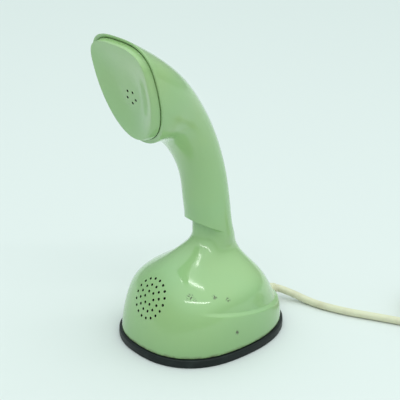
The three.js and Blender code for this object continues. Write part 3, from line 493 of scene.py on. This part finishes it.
# %% [markdown]
# ## The ear cap
# The cap plugs into the mouth of the head. Its rolled rim stands proud, and inside the rim the
# face sinks in a shallow dish to the five sound holes. It is wrapped as the case is, between
# three ovals: the seam, the crest of the rim and the flat of the dish.

# %% Ear cap
ear_frame = (
    Matrix.Translation(Vector((0, EAR_Y + dial_y, EAR_Z)) * MM)
    @ Matrix.Rotation(math.pi / 2 + EAR_LEAN, 4, "X")
)
CREST_HEIGHT, SEAM_HEIGHT, DISH_HEIGHT = 4.6, 0.9, 0.05
CAP_WALL = 2.2
DISH_START, DISH_END = -0.14, 0.98        # shares of the way from the crest to the flat


def cap_point(angle, first, second, share, step, height):
    rise, width, below, above, square_below, square_above = (
        a + (b - a) * share for a, b in zip(first, second)
    )
    across, along = oval(
        angle, width - step, below - step, above - step, square_below, square_above,
    )
    return Vector((across, rise + along, height))


def rim_height(share):
    """Height of the band between the seam and the crest, round as a quarter of a tyre."""
    return SEAM_HEIGHT + (CREST_HEIGHT - SEAM_HEIGHT) * math.sin(share * math.pi / 2) ** 0.9


def dish_height(share):
    """Height of the face from the crest (0) down to the flat round the holes (1)."""
    start = smooth(0, DISH_START, DISH_END)
    fall = (smooth(share, DISH_START, DISH_END) - start) / (1 - start)
    return DISH_HEIGHT + (CREST_HEIGHT - DISH_HEIGHT) * (1 - fall)


def cap_path(angle):
    path = [(DISH, DISH, 0, 0, dish_height(1) - CAP_WALL)]
    for share in (1, 0.8, 0.6, 0.4, 0.24):
        path.append((CREST, DISH, share, 0, dish_height(share) - CAP_WALL))
    skirt = [(4.4, -1.2), (4.4, -2.6), (2.6, -2.6), (0.1, -0.3), (0, 0), (0, 0.35), (0.12, 0.7)]
    path += [(SEAM, CREST, 0, step, z) for step, z in skirt]
    for share in span(0, 1, 16):
        path.append((SEAM, CREST, share, 0.15 * (1 - share), rim_height(share)))
    for share in span(0, 1, 30):
        path.append((CREST, DISH, share, 0, dish_height(share)))
    path.append((CREST, DISH, 1, 0, dish_height(1)))
    path.append((DISH, (0, 4, 4.5, 4.5, 2, 2), 1, 0, 0.02))
    return path


cap = wrap("ear_cap_smooth", 160, cap_path, cap_point)
select_only(cap)
bpy.ops.object.mode_set(mode="EDIT")
bpy.ops.mesh.select_all(action="DESELECT")
bpy.ops.mesh.select_non_manifold()
bpy.ops.mesh.fill_holes(sides=0)
bpy.ops.mesh.select_all(action="SELECT")
bpy.ops.mesh.normals_make_consistent(inside=False)
bpy.ops.object.mode_set(mode="OBJECT")
EAR_HOLE, EAR_RING, EAR_HOLES = 1, 4.5, 5
ear_turns = [math.radians(-90 + i * 360 / EAR_HOLES) for i in range(EAR_HOLES)]
ear_holes = [(EAR_RING * math.cos(turn), EAR_RING * math.sin(turn)) for turn in ear_turns]
drill(cap, [cylinder(EAR_HOLE, -6, 3, 16, x, y) for x, y in ear_holes])
cap.matrix_world = ear_frame
settle(cap, "ear_cap_smooth", 35)
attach(cap, "root")
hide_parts("ear_cap")
print("ear cap", len(cap.data.polygons), "faces")

# %% [markdown]
# ## The rubber foot ring
# A ring of dark rubber carries the case and keeps it from sliding. A torus could not follow the
# outline of the skirt, so the ring is wrapped round the case's own lowest oval, with rounded
# edges and a side that bulges very slightly, as a rubber moulding does.

# %% Foot ring
RING_HEIGHT, RING_BAND, RING_PROUD = 6, 8, 1.7
LOW_ROUND, TOP_ROUND, BULGE = 0.9, 1, 0.12


def ring_point(angle, out, height):
    point = case_point(angle, PLATE_BOTTOM, out)
    return Vector((point.x, point.y, height))


def ring_path(angle):
    path = [(RING_PROUD - LOW_ROUND, 0)]
    for degrees in range(-75, 1, 15):
        turn = math.radians(degrees)
        out = LOW_ROUND * (math.cos(turn) - 1)
        path.append((RING_PROUD + out, LOW_ROUND + LOW_ROUND * math.sin(turn)))
    for i in range(1, 5):
        path.append((RING_PROUD + BULGE * math.sin(math.pi * i / 5), LOW_ROUND + 4 * i / 5))
    for degrees in range(0, 91, 15):
        turn = math.radians(degrees)
        out = TOP_ROUND * (math.cos(turn) - 1)
        path.append((RING_PROUD + out, RING_HEIGHT + TOP_ROUND * (math.sin(turn) - 1)))
    inner = RING_PROUD - RING_BAND
    path += [(-1.5, RING_HEIGHT), (inner, RING_HEIGHT), (inner, 0.4), (inner + 0.4, 0), path[0]]
    return path


ring = wrap("rubber_ring", 192, ring_path, ring_point)
settle(ring, "rubber_ring", 40)
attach(ring, "root")
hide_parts("foot_ring")
print("ring", [round(v * 1000, 1) for v in ring.dimensions])

# %% [markdown]
# ## The strain relief
# A tapered vinyl sleeve keeps the cord from kinking where it leaves the case. Its profile is
# drawn as one edge and spun round the cord's line, with a collar against the case and four
# shallow rings that let it bend.

# %% Strain relief
RELIEF_TIP = 13.6


def spin_profile(name, profile, steps=48):
    """Spins a profile of (radius, height) points round the Z axis, in millimetres."""
    bpy.ops.object.select_all(action="DESELECT")
    mesh = bpy.data.meshes.new(name)
    points = [(r * MM, 0, z * MM) for r, z in profile]
    mesh.from_pydata(points, [(i, i + 1) for i in range(len(points) - 1)], [])
    obj = bpy.data.objects.new(name, mesh)
    bpy.context.collection.objects.link(obj)
    select_only(obj)
    bpy.ops.object.mode_set(mode="EDIT")
    bpy.ops.mesh.select_all(action="SELECT")
    bpy.ops.mesh.spin(steps=steps, angle=2 * math.pi, center=(0, 0, 0), axis=(0, 0, 1))
    bpy.ops.object.mode_set(mode="OBJECT")
    tidy_mesh(obj)
    return obj


sleeve = [(0, -9.6), (4.8, -9.6), (5.1, -9.3), (5.1, -8.4), (4.4, -8.2), (4.4, 1.9), (5, 2.1)]
sleeve += [(5.25, 2.5), (5.2, 3.1), (4.8, 3.5)]
for ring_number in range(4):
    start = 4 + ring_number * 2.2
    radius = 4.55 - 0.2 * ring_number
    sleeve += [(radius - 0.45, start), (radius, start + 0.35)]
    sleeve += [(radius, start + 1.25), (radius - 0.5, start + 1.6)]
sleeve += [(3.55, 12.9), (3.4, 13.3), (2.9, RELIEF_TIP), (0, RELIEF_TIP)]
relief = spin_profile("relief_sleeve", sleeve)
relief.matrix_world = relief_frame
settle(relief, "relief_sleeve", 50)
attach(relief, "root")
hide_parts("strain_relief")
print("strain relief", len(relief.data.polygons), "faces")

# %% [markdown]
# ## The plug
# A flat four-pin telephone plug, generic in its form: a body with rounded corners and a groove
# round its middle, a grip dimple on each face, a ribbed neck and four round brass pins. The body
# begins as a bevelled block. Two cuts give a thin band, and the band sinks to make the groove.

# %% Plug body
def rounded_block(size, bevel, segments):
    """A block round the origin with all its edges rounded, in millimetres."""
    bpy.ops.object.select_all(action="DESELECT")
    bpy.ops.mesh.primitive_cube_add(size=1)
    obj = bpy.context.view_layer.objects.active
    obj.scale = [v * MM for v in size]
    bpy.ops.object.transform_apply(location=False, rotation=False, scale=True)
    apply_modifier(obj, "BEVEL", width=bevel * MM, segments=segments, limit_method="ANGLE")
    return obj


PLUG_SIZE, PLUG_ROUND = (26, 34, 14), 3
GROOVE_HALF, GROOVE_DEPTH = 0.35, 0.5
DIMPLE_MARGIN, DIMPLE_SLOPE, DIMPLE_DEPTH = 5, 1.2, 0.9
plug = rounded_block(PLUG_SIZE, PLUG_ROUND, 6)
bpy.ops.object.mode_set(mode="EDIT")
bpy.ops.mesh.select_all(action="SELECT")
for height in (-GROOVE_HALF, GROOVE_HALF):
    bpy.ops.mesh.bisect(plane_co=(0, 0, height * MM), plane_no=(0, 0, 1))
    bpy.ops.mesh.select_all(action="SELECT")
select_faces(plug, lambda centre, normal: abs(centre.z) < 0.3 * MM)
bpy.ops.mesh.extrude_region_shrink_fatten(
    TRANSFORM_OT_shrink_fatten={"value": -GROOVE_DEPTH * MM},
)
select_faces(plug, lambda centre, normal: abs(normal.z) > 0.99 and abs(centre.z) > 6.5 * MM)
bpy.ops.mesh.inset(thickness=DIMPLE_MARGIN * MM, use_individual=True)
bpy.ops.mesh.inset(thickness=DIMPLE_SLOPE * MM, depth=-DIMPLE_DEPTH * MM, use_individual=True)
bpy.ops.object.mode_set(mode="OBJECT")
apply_modifier(plug, "BEVEL", width=0.25 * MM, segments=2, limit_method="ANGLE")

neck = spin_profile("neck", [
    (0, 15.5), (4.9, 15.5), (4.9, 17.6), (4.2, 18), (4.2, 18.8), (4.7, 19.1), (4.6, 20.2),
    (4, 20.6), (4, 21.4), (4.4, 21.7), (4.3, 22.8), (3.7, 23.2), (3.7, 24), (4, 24.3),
    (3.8, 25.5), (3, 26), (0, 26),
], 40)
neck.rotation_euler = (-math.pi / 2, 0, 0)
select_only(plug, neck)
bpy.ops.object.join()
plug.location = Vector((coil_x, coil_y, neck_z)) * MM
settle(plug, "plug_body", 35)

PIN_ACROSS, PIN_UP = 7, 3.5
pins = []
for x, z in [(side * PIN_ACROSS, up * PIN_UP) for up in (-1, 1) for side in (-1, 1)]:
    pin = spin_profile("pin", [
        (0, -1), (1.8, -1), (1.8, 13.6), (1.45, 14.5), (0.8, 15), (0, 15),
    ], 24)
    pin.rotation_euler = (math.pi / 2, 0, 0)
    pin.location = Vector((x, -16.4, z)) * MM
    pins.append(pin)
select_only(*pins)
bpy.ops.object.join()
plug_pins = bpy.context.view_layer.objects.active
bpy.ops.object.transform_apply(location=True, rotation=True, scale=True)
plug_pins.location = Vector((coil_x, coil_y, neck_z)) * MM
settle(plug_pins, "plug_pins", 40)
for piece, finish in ((plug, "cream_vinyl"), (plug_pins, "brass")):
    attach(piece, "root")
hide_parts("line_plug")
print("plug and pins", len(plug.data.polygons), len(plug_pins.data.polygons), "faces")

# %% [markdown]
# ## The tie
# A flat white tie goes round all the turns of the coil and ends in a short twist. The
# band is wrapped like the case, with only four steps across, and the twist is a flattened rod
# whose slices are turned one after the other.

# %% Coil tie
TIE_WIDTH, TIE_THICK = 4, 0.5
tie_middle = (COIL_RADII[0] + COIL_RADII[-1]) / 2
half_x = (COIL_RADII[0] - COIL_RADII[-1]) / 2 + CORD_RADIUS + TIE_THICK
half_z = (LAYER_HEIGHTS[-1] - LAYER_HEIGHTS[0]) / 2 + CORD_RADIUS + TIE_THICK / 2
tie_z = half_z + 0.05


def tie_path(angle):
    return [(0, 0), (0, TIE_WIDTH), (TIE_THICK, TIE_WIDTH), (TIE_THICK, 0), (0, 0)]


def tie_point(angle, out, along):
    across, up = oval(angle, half_x + out - TIE_THICK, half_z + out - TIE_THICK,
                      half_z + out - TIE_THICK, 5, 5)
    return Vector((coil_x - tie_middle + across, coil_y + along - TIE_WIDTH / 2, tie_z + up))


tie = wrap("coil_tie", 64, tie_path, tie_point)
TWIST_LENGTH, TWIST_LEAN = 12, math.radians(-62)
twist = cylinder(0.9, 0, TWIST_LENGTH, 12)
bpy.ops.object.mode_set(mode="EDIT")
bpy.ops.mesh.select_all(action="SELECT")
bpy.ops.mesh.subdivide(number_cuts=6)
bpy.ops.object.mode_set(mode="OBJECT")
for vertex in twist.data.vertices:
    vertex.co = Matrix.Rotation(vertex.co.z / MM * 0.9, 3, "Z") @ Vector(
        (vertex.co.x * 1.5, vertex.co.y * 0.55, vertex.co.z))
twist.rotation_euler = (0, TWIST_LEAN, 0)
twist.location = Vector((coil_x - tie_middle - half_x - 3, coil_y, tie_z + half_z - 3.4)) * MM
select_only(tie, twist)
bpy.ops.object.join()
settle(tie, "coil_tie", 40)
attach(tie, "root")
print("tie", len(tie.data.polygons), "faces")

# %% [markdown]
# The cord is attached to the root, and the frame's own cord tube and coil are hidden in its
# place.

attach(line_cord, "root")
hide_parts("cord_tube", "cord_coil")

# %% [markdown]
# ## The dial underneath
# The finger wheel and the red plunger are what a hand touches when the telephone is picked up.
# The wheel is a disc with its holes cut through, and a bevel softens every rim at once, which
# is why it comes last.

# %% Finger wheel
wheel_low, wheel_high = (Vector(corner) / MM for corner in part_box("dial_finger_wheel"))
WHEEL_RADIUS = (wheel_high.x - wheel_low.x) / 2
HOLE_RING, HOLE_RADIUS, HOLE_COUNT, HUB_RADIUS = 28.5, 6.5, 10, 3.6
HOLE_START, HOLE_STEP = -50, 30           # degrees
hole_turns = [math.radians(HOLE_START - HOLE_STEP * (i + 1)) for i in range(HOLE_COUNT)]
wheel = cylinder(WHEEL_RADIUS, wheel_low.z, wheel_high.z, 128)
drill(wheel, [
    cylinder(HOLE_RADIUS, 0, 10, 40, HOLE_RING * math.cos(turn), HOLE_RING * math.sin(turn))
    for turn in hole_turns
] + [cylinder(HUB_RADIUS, 0, 10, 40)])
apply_modifier(wheel, "BEVEL", width=0.45 * MM, segments=3, limit_method="ANGLE")
wheel.location.y += dial_y * MM
settle(wheel, "finger_wheel", 35)
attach(wheel, "dial")
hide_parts("dial_finger_wheel")
print("finger wheel", len(wheel.data.polygons), "faces")

# %% [markdown]
# The numbers are printed on the ring behind the holes and stay where they are while the wheel
# turns. Each is a text object with almost no thickness, made a mesh, turned to be read from
# below, and set on the underside of the ring.

# %% Numbers behind the holes
numbers_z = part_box("dial_number_ring")[0][2] / MM
DIGIT_SIZE, DIGIT_THICK, DIGIT_GAP = 8, 0.06, 0.08
digits = []
for i, turn in enumerate(hole_turns):
    bpy.ops.object.select_all(action="DESELECT")
    bpy.ops.object.text_add()
    digit = bpy.context.view_layer.objects.active
    digit.data.body = str((i + 1) % 10)
    digit.data.size = DIGIT_SIZE * MM
    digit.data.align_x = "CENTER"
    digit.data.align_y = "CENTER"
    digit.data.extrude = DIGIT_THICK * MM
    digit.rotation_euler = (math.pi, 0, 0)
    x, y = HOLE_RING * math.cos(turn), HOLE_RING * math.sin(turn) + dial_y
    digit.location = Vector((x, y, numbers_z - DIGIT_GAP)) * MM
    bpy.ops.object.convert(target="MESH")
    digits.append(bpy.context.view_layer.objects.active)
select_only(*digits)
bpy.ops.object.join()
numbers = bpy.context.view_layer.objects.active
tidy_mesh(numbers)
settle(numbers, "dial_numbers")
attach(numbers, "root")
print("numbers", len(numbers.data.polygons), "faces")

# %% [markdown]
# The plunger's button is a low red disc. Its profile is spun, as that gives a round edge without
# a bevel. Its underside is very slightly hollow, so that it rests on the rim and not the middle.

# %% Plunger button
button_low, button_high = (Vector(corner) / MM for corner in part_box("plunger_button"))
button_radius = (button_high.x - button_low.x) / 2
button = spin_profile("red_button", [
    (0, 0.35), (button_radius * 0.5, 0.25), (button_radius - 1.3, 0), (button_radius - 0.5, 0.12),
    (button_radius - 0.1, 0.5), (button_radius, 0.9), (button_radius, button_high.z),
    (0, button_high.z),
], 64)
button.location.y = dial_y * MM
settle(button, "red_button", 40)
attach(button, "plunger")
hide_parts("plunger_button")
print("button radius", round(button_radius, 1))

# %% [markdown]
# ## Finishes
# Each finish is a small set of nodes round one shader. The patterns read Object coordinates, so
# they have the same size on every piece, and numbers that hold all over stay on the shader.

# %% Helpers for finishes
def shader_of(name, colour, roughness, metallic=0.0):
    finish = bpy.data.materials.new(name)
    finish.use_nodes = True
    shader = finish.node_tree.nodes["Principled BSDF"]
    shader.inputs["Base Color"].default_value = (*colour, 1)
    shader.inputs["Roughness"].default_value = roughness
    shader.inputs["Metallic"].default_value = metallic
    return finish, finish.node_tree, shader


def add_node(tree, kind, values=None, **settings):
    node = tree.nodes.new(kind)
    for key, value in settings.items():
        setattr(node, key, value)
    for key, value in (values or {}).items():
        node.inputs[key].default_value = value
    return node


def place_of(tree, scale=(1, 1, 1)):
    """Object coordinates in metres, stretched by the scale."""
    coordinate = add_node(tree, "ShaderNodeTexCoord")
    mapping = add_node(tree, "ShaderNodeMapping", {"Scale": scale})
    tree.links.new(coordinate.outputs["Object"], mapping.inputs["Vector"])
    return mapping.outputs["Vector"]


def noise(tree, scale, detail=3.0, stretch=(1, 1, 1), roughness=0.5):
    node = add_node(tree, "ShaderNodeTexNoise", {
        "Scale": scale, "Detail": detail, "Roughness": roughness,
    })
    tree.links.new(place_of(tree, stretch), node.inputs["Vector"])
    return node.outputs["Fac"]


def remap(tree, value, low, high, to_low, to_high):
    node = add_node(tree, "ShaderNodeMapRange", {
        "From Min": low, "From Max": high, "To Min": to_low, "To Max": to_high,
    })
    tree.links.new(value, node.inputs["Value"])
    return node.outputs["Result"]


def blend(tree, share, first, second):
    """Mixes two colours, each a socket or three numbers."""
    node = add_node(tree, "ShaderNodeMix", data_type="RGBA")
    tree.links.new(share, node.inputs["Factor"])
    for socket, colour in ((node.inputs[6], first), (node.inputs[7], second)):
        if isinstance(colour, tuple):
            socket.default_value = (*colour, 1)
        else:
            tree.links.new(colour, socket)
    return node.outputs[2]


def bump(tree, shader, height, strength, distance):
    node = add_node(tree, "ShaderNodeBump", {"Strength": strength, "Distance": distance})
    tree.links.new(height, node.inputs["Height"])
    tree.links.new(node.outputs["Normal"], shader.inputs["Normal"])


def multiply(tree, first, second):
    node = add_node(tree, "ShaderNodeMath", operation="MULTIPLY")
    tree.links.new(first, node.inputs[0])
    tree.links.new(second, node.inputs[1])
    return node.outputs["Value"]


def height_above(tree):
    """Height over the table in metres."""
    split = add_node(tree, "ShaderNodeSeparateXYZ")
    tree.links.new(place_of(tree), split.inputs["Vector"])
    return split.outputs["Z"]


def distance_to(tree, place):
    """Distance in metres from a place given in millimetres."""
    node = add_node(tree, "ShaderNodeVectorMath", {1: Vector(place) * MM}, operation="DISTANCE")
    tree.links.new(place_of(tree), node.inputs[0])
    return node.outputs["Value"]


# %% [markdown]
# ### Mint plastic
# Years of use leave the moulded case glossy, but not new: the colour drifts a little from
# place to place, hands have dulled it in soft patches, hairline scratches cross it, there are
# a few dark scuffs on the base, and dirt gathers above the ring. Towards the bottom the mint is
# darker too, as painted shade.

# %% Mint plastic
MINT = (0.312, 0.520, 0.238)
MINT_AGED = (0.342, 0.525, 0.222)
# painted shade: the darker mint laid on towards the bottom of the case
MINT_PAINTED_SHADE_LOW = (0.262, 0.450, 0.190)
SCUFF = (0.060, 0.055, 0.035)
DIRT = (0.110, 0.100, 0.055)
SCUFFS = [  # place and reach in millimetres
    ((27, -27, 46), 3.2), ((30, -25, 44), 2.4), ((41, -5, 43), 2.2), ((49, -3, 20), 2.2),
    ((36, -13, 45), 2.6), ((50, 8, 24), 1.8),
]


def mint_plastic():
    finish, tree, shader = shader_of("mint_plastic", MINT, 0.2)
    drift = remap(tree, noise(tree, 16, 2), 0.35, 0.7, 0, 1)
    colour = blend(tree, drift, MINT, MINT_AGED)
    # painted shade: darker mint from 36 mm down to 10 mm above the table
    painted_shade_low = remap(tree, height_above(tree), 0.010, 0.036, 0.8, 0)
    colour = blend(tree, painted_shade_low, colour, MINT_PAINTED_SHADE_LOW)
    low = remap(tree, height_above(tree), 0.0065, 0.0088, 1, 0)
    ragged = remap(tree, noise(tree, 190, 4), 0.38, 0.62, 0.15, 0.9)
    colour = blend(tree, multiply(tree, low, ragged), colour, DIRT)
    broken = remap(tree, noise(tree, 900, 4, (1, 1, 0.5)), 0.46, 0.58, 0, 0.9)
    for place, size in SCUFFS:
        near = remap(tree, distance_to(tree, place), 0.4 * size * MM, size * MM, 1, 0)
        colour = blend(tree, multiply(tree, near, broken), colour, SCUFF)
    tree.links.new(colour, shader.inputs["Base Color"])
    dull = remap(tree, noise(tree, 30, 4), 0.3, 0.75, 0.09, 0.22)
    tree.links.new(dull, shader.inputs["Roughness"])
    shader.inputs["IOR"].default_value = 1.5
    shader.inputs["Coat Weight"].default_value = 0.4
    shader.inputs["Coat Roughness"].default_value = 0.06
    shader.inputs["Subsurface Weight"].default_value = 0.04
    shader.inputs["Subsurface Radius"].default_value = (0.004, 0.006, 0.003)
    scratch = remap(tree, noise(tree, 260, 2, (1, 0.03, 0.12)), 0.62, 0.7, 0, 1)
    ripple = noise(tree, 60, 2)
    height = add_node(tree, "ShaderNodeMath", {2: 0.0}, operation="MULTIPLY_ADD")
    tree.links.new(scratch, height.inputs[0])
    height.inputs[1].default_value = -0.05
    tree.links.new(ripple, height.inputs[2])
    bump(tree, shader, height.outputs["Value"], 0.12, 0.0006)
    return finish


# %% [markdown]
# ### Rubber, vinyl and the other plastics
# Rubber is nearly black with a slight bluish bloom and a fine grain. The cord's vinyl has gone
# cream, with faint grime. Moulded plastics inside are satin, with a fine texture. All three are
# one colour blended into another by noise, with a second noise in the roughness, so that light
# doesn't slide over them evenly.

# %% Rubber
def rubber():
    finish, tree, shader = shader_of("rubber", (0.010, 0.014, 0.014), 0.5)
    bloom = remap(tree, noise(tree, 90, 4), 0.45, 0.75, 0, 1)
    colour = blend(tree, bloom, (0.006, 0.010, 0.010), (0.018, 0.026, 0.025))
    tree.links.new(colour, shader.inputs["Base Color"])
    rough = remap(tree, noise(tree, 45, 3), 0.3, 0.7, 0.38, 0.6)
    tree.links.new(rough, shader.inputs["Roughness"])
    shader.inputs["Specular IOR Level"].default_value = 0.28
    bump(tree, shader, noise(tree, 1500, 3), 0.25, 0.0002)
    return finish


# %% Vinyl of the cord, plug and leads
def cream_vinyl():
    finish, tree, shader = shader_of("cream_vinyl", (0.700, 0.690, 0.500), 0.38)
    grime = remap(tree, noise(tree, 60, 5, (1, 1, 1), 0.6), 0.5, 0.8, 0, 1)
    colour = blend(tree, grime, (0.700, 0.690, 0.500), (0.560, 0.525, 0.360))
    tree.links.new(colour, shader.inputs["Base Color"])
    rough = remap(tree, noise(tree, 80, 3), 0.3, 0.7, 0.3, 0.48)
    tree.links.new(rough, shader.inputs["Roughness"])
    shader.inputs["Subsurface Weight"].default_value = 0.05
    shader.inputs["Subsurface Radius"].default_value = (0.002, 0.0015, 0.001)
    bump(tree, shader, noise(tree, 900, 3), 0.15, 0.0002)
    return finish


# %% Moulded plastics
def moulded(name, colour, worn, roughness, grain):
    finish, tree, shader = shader_of(name, colour, roughness)
    patches = remap(tree, noise(tree, 70, 4), 0.4, 0.7, 0, 1)
    tree.links.new(blend(tree, patches, colour, worn), shader.inputs["Base Color"])
    rough = remap(tree, noise(tree, 120, 3), 0.3, 0.7, roughness - 0.06, roughness + 0.1)
    tree.links.new(rough, shader.inputs["Roughness"])
    bump(tree, shader, noise(tree, grain, 2), 0.15, 0.0002)
    return finish


# %% [markdown]
# ### Metals
# Plated steel shows fine brushing along one way, brass has darkened unevenly, and enamelled
# copper wire shows as fine even ridges across the winding.

# %% Metals
def metal(name, colour, tarnish, roughness, stretch):
    finish, tree, shader = shader_of(name, colour, roughness, 1.0)
    age = remap(tree, noise(tree, 110, 4), 0.45, 0.75, 0, 1)
    tree.links.new(blend(tree, age, colour, tarnish), shader.inputs["Base Color"])
    brushed = noise(tree, 700, 3, stretch)
    rough = remap(tree, brushed, 0.3, 0.7, roughness - 0.08, roughness + 0.12)
    tree.links.new(rough, shader.inputs["Roughness"])
    bump(tree, shader, brushed, 0.12, 0.0001)
    return finish


def copper_wire():
    finish, tree, shader = shader_of("copper", (0.42, 0.16, 0.06), 0.35, 0.7)
    wave = add_node(
        tree, "ShaderNodeTexWave", {"Scale": 420.0, "Distortion": 0.4}, bands_direction="Y",
    )
    tree.links.new(place_of(tree), wave.inputs["Vector"])
    colour = blend(tree, wave.outputs["Fac"], (0.24, 0.08, 0.03), (0.55, 0.23, 0.09))
    tree.links.new(colour, shader.inputs["Base Color"])
    bump(tree, shader, wave.outputs["Fac"], 0.6, 0.0004)
    return finish


# %% [markdown]
# Felt scatters light from thousands of fibres, so it is rough all over, with a soft sheen.

# %% Felt
def felt():
    finish, tree, shader = shader_of("felt", (0.070, 0.068, 0.058), 0.95)
    fibres = noise(tree, 1400, 6, (1, 1, 0.5), 0.7)
    colour = blend(tree, fibres, (0.040, 0.038, 0.032), (0.110, 0.105, 0.090))
    tree.links.new(colour, shader.inputs["Base Color"])
    shader.inputs["Sheen Weight"].default_value = 0.4
    bump(tree, shader, fibres, 0.7, 0.0005)
    return finish


# %% [markdown]
# Each finish is put on in two rounds: first on every piece of the mechanism, as its record says,
# and then on the pieces made here.

# %% Put the finishes on
BLACK, BLACK_WORN = (0.012, 0.012, 0.013), (0.026, 0.025, 0.024)
WHITE, WHITE_WORN = (0.800, 0.780, 0.710), (0.720, 0.680, 0.570)
RED, RED_WORN = (0.400, 0.026, 0.018), (0.300, 0.028, 0.020)
STEEL, STEEL_WORN = (0.56, 0.57, 0.58), (0.34, 0.32, 0.29)
SPRING, SPRING_WORN = (0.36, 0.37, 0.40), (0.22, 0.21, 0.22)
BRASS, BRASS_WORN = (0.62, 0.45, 0.17), (0.34, 0.22, 0.08)
# painted shade with grime: the near-black for the walls of the sound holes
HOLE_SHADE_AND_GRIME, HOLE_SHADE_AND_GRIME_WORN = (0.010, 0.012, 0.007), (0.030, 0.032, 0.018)
finishes = {
    "mint_plastic": mint_plastic(),
    "rubber": rubber(),
    "cream_vinyl": cream_vinyl(),
    "black_plastic": moulded("black_plastic", BLACK, BLACK_WORN, 0.38, 1200),
    "white_plastic": moulded("white_plastic", WHITE, WHITE_WORN, 0.26, 900),
    "red_plastic": moulded("red_plastic", RED, RED_WORN, 0.24, 700),
    "steel": metal("steel", STEEL, STEEL_WORN, 0.3, (1, 0.05, 1)),
    "spring_steel": metal("spring_steel", SPRING, SPRING_WORN, 0.26, (0.1, 1, 1)),
    "brass": metal("brass", BRASS, BRASS_WORN, 0.3, (1, 1, 0.1)),
    "copper": copper_wire(),
    "felt": felt(),
    "hole_grime_and_shade": moulded("hole_grime_and_shade", HOLE_SHADE_AND_GRIME, HOLE_SHADE_AND_GRIME_WORN, 0.8, 900),
}
slot_of = {part["node"]: part["material_slot"] for part in frame["record"]["subparts"]}
for name, node in nodes.items():
    node.data.materials.clear()
    node.data.materials.append(finishes[slot_of[name]])
for piece, finish in (
    (case, "mint_plastic"), (cap, "mint_plastic"), (ring, "rubber"), (relief, "cream_vinyl"),
    (plug, "cream_vinyl"), (plug_pins, "brass"), (tie, "white_plastic"), (line_cord, "cream_vinyl"),
    (wheel, "white_plastic"), (numbers, "black_plastic"), (button, "red_plastic"),
):
    piece.data.materials.clear()
    piece.data.materials.append(finishes[finish])
print("finishes", sorted(finishes))

# %% [markdown]
# The walls of the sound holes are painted nearly black: painted shade for the dark inside of
# each hole, with some dust and lint. The walls are found by their place and by facing across the
# hole, and take a second finish.

# %% Painted shade and grime in the sound holes
WALL_REACH, ACROSS = 9, 0.6        # millimetres from the face, and the most a wall may tilt


def darken_holes(obj, hole_frame, middles, radius):
    """Gives the walls of the holes painted shade with grime. The middles are given in the holes'
    own frame.
    """
    to_frame = hole_frame.inverted()
    turned = to_frame.to_3x3()
    middles = [Vector(middle) for middle in middles]
    reach = max(middle.length for middle in middles) + radius
    obj.data.materials.append(finishes["hole_grime_and_shade"])
    walls = 0
    for face in obj.data.polygons:
        place = to_frame @ face.center / MM
        tilt = abs((turned @ face.normal).z)
        if abs(place.z) > WALL_REACH or place.xy.length > reach or tilt > ACROSS:
            continue
        if min((place.xy - middle).length for middle in middles) < radius:
            face.material_index = 1
            walls += 1
    print(obj.name, "has", walls, "faces of grime")


# painted shade with grime on the walls of the holes in the case and in the cap
darken_holes(case, mic_frame, mic_holes, MIC_HOLE + 0.1)
darken_holes(cap, ear_frame, ear_holes, EAR_HOLE + 0.1)

# %% [markdown]
# ## Studio
# The telephone stands on a wide pale sheet in soft daylight, which is brightest from above and a
# little from the right. Two long narrow lights high up draw the thin bright lines in the dome.

# %% Floor
bpy.ops.object.select_all(action="DESELECT")
bpy.ops.mesh.primitive_plane_add(size=8)
floor = bpy.context.view_layer.objects.active
floor.name = "floor"
floor_finish, _, floor_shader = shader_of("floor", (0.715, 0.745, 0.735), 0.8)
floor_shader.inputs["Specular IOR Level"].default_value = 0.2
floor.data.materials.append(floor_finish)

# %% Lights
AIM = Vector((0, 0, 0.1))


def soft_light(name, distance, azimuth, height, size, glow):
    """A rectangle of light, aimed at the telephone. The angles are in degrees, and the glow is
    its radiance, so that a larger light is also a stronger one."""
    light_data = bpy.data.lights.new(name, "AREA")
    light_data.shape = "RECTANGLE"
    light_data.size, light_data.size_y = size
    light_data.energy = glow * math.pi * size[0] * size[1]
    light = bpy.data.objects.new(name, light_data)
    turn, rise = math.radians(azimuth), math.radians(height)
    way = Vector((math.cos(rise) * math.cos(turn), math.cos(rise) * math.sin(turn), math.sin(rise)))
    light.location = AIM + distance * way
    light.rotation_euler = (-way).to_track_quat("-Z", "Y").to_euler()
    bpy.context.collection.objects.link(light)


soft_light("low strip", 1.5, -34, 54, (1.3, 0.06), 14)
soft_light("high strip", 1.5, -34, 83, (0.8, 0.06), 11)

# %% [markdown]
# The daylight is a sky that goes from dim at the horizon to bright overhead. One even colour
# would be simpler, but a glossy case under it loses its form.

# %% Daylight of the studio
world = bpy.data.worlds.new("studio")
world.use_nodes = True
sky = world.node_tree
BRIGHTEST_WAY = (0.1, 0.06, 0.99)
towards = add_node(sky, "ShaderNodeVectorMath", {1: BRIGHTEST_WAY}, operation="DOT_PRODUCT")
direction = add_node(sky, "ShaderNodeTexCoord")
sky.links.new(direction.outputs["Generated"], towards.inputs[0])
glow = remap(sky, towards.outputs["Value"], 0.1, 1, 0.36, 1.45)
glow.node.interpolation_type = "SMOOTHSTEP"
backdrop = sky.nodes["Background"]
backdrop.inputs["Color"].default_value = (0.88, 1.0, 0.98, 1)
sky.links.new(glow, backdrop.inputs["Strength"])
bpy.context.scene.world = world

# %% [markdown]
# ## Finish
# The view layer is brought up to date once more, after every piece is placed.

# %% Finish
bpy.context.view_layer.update()
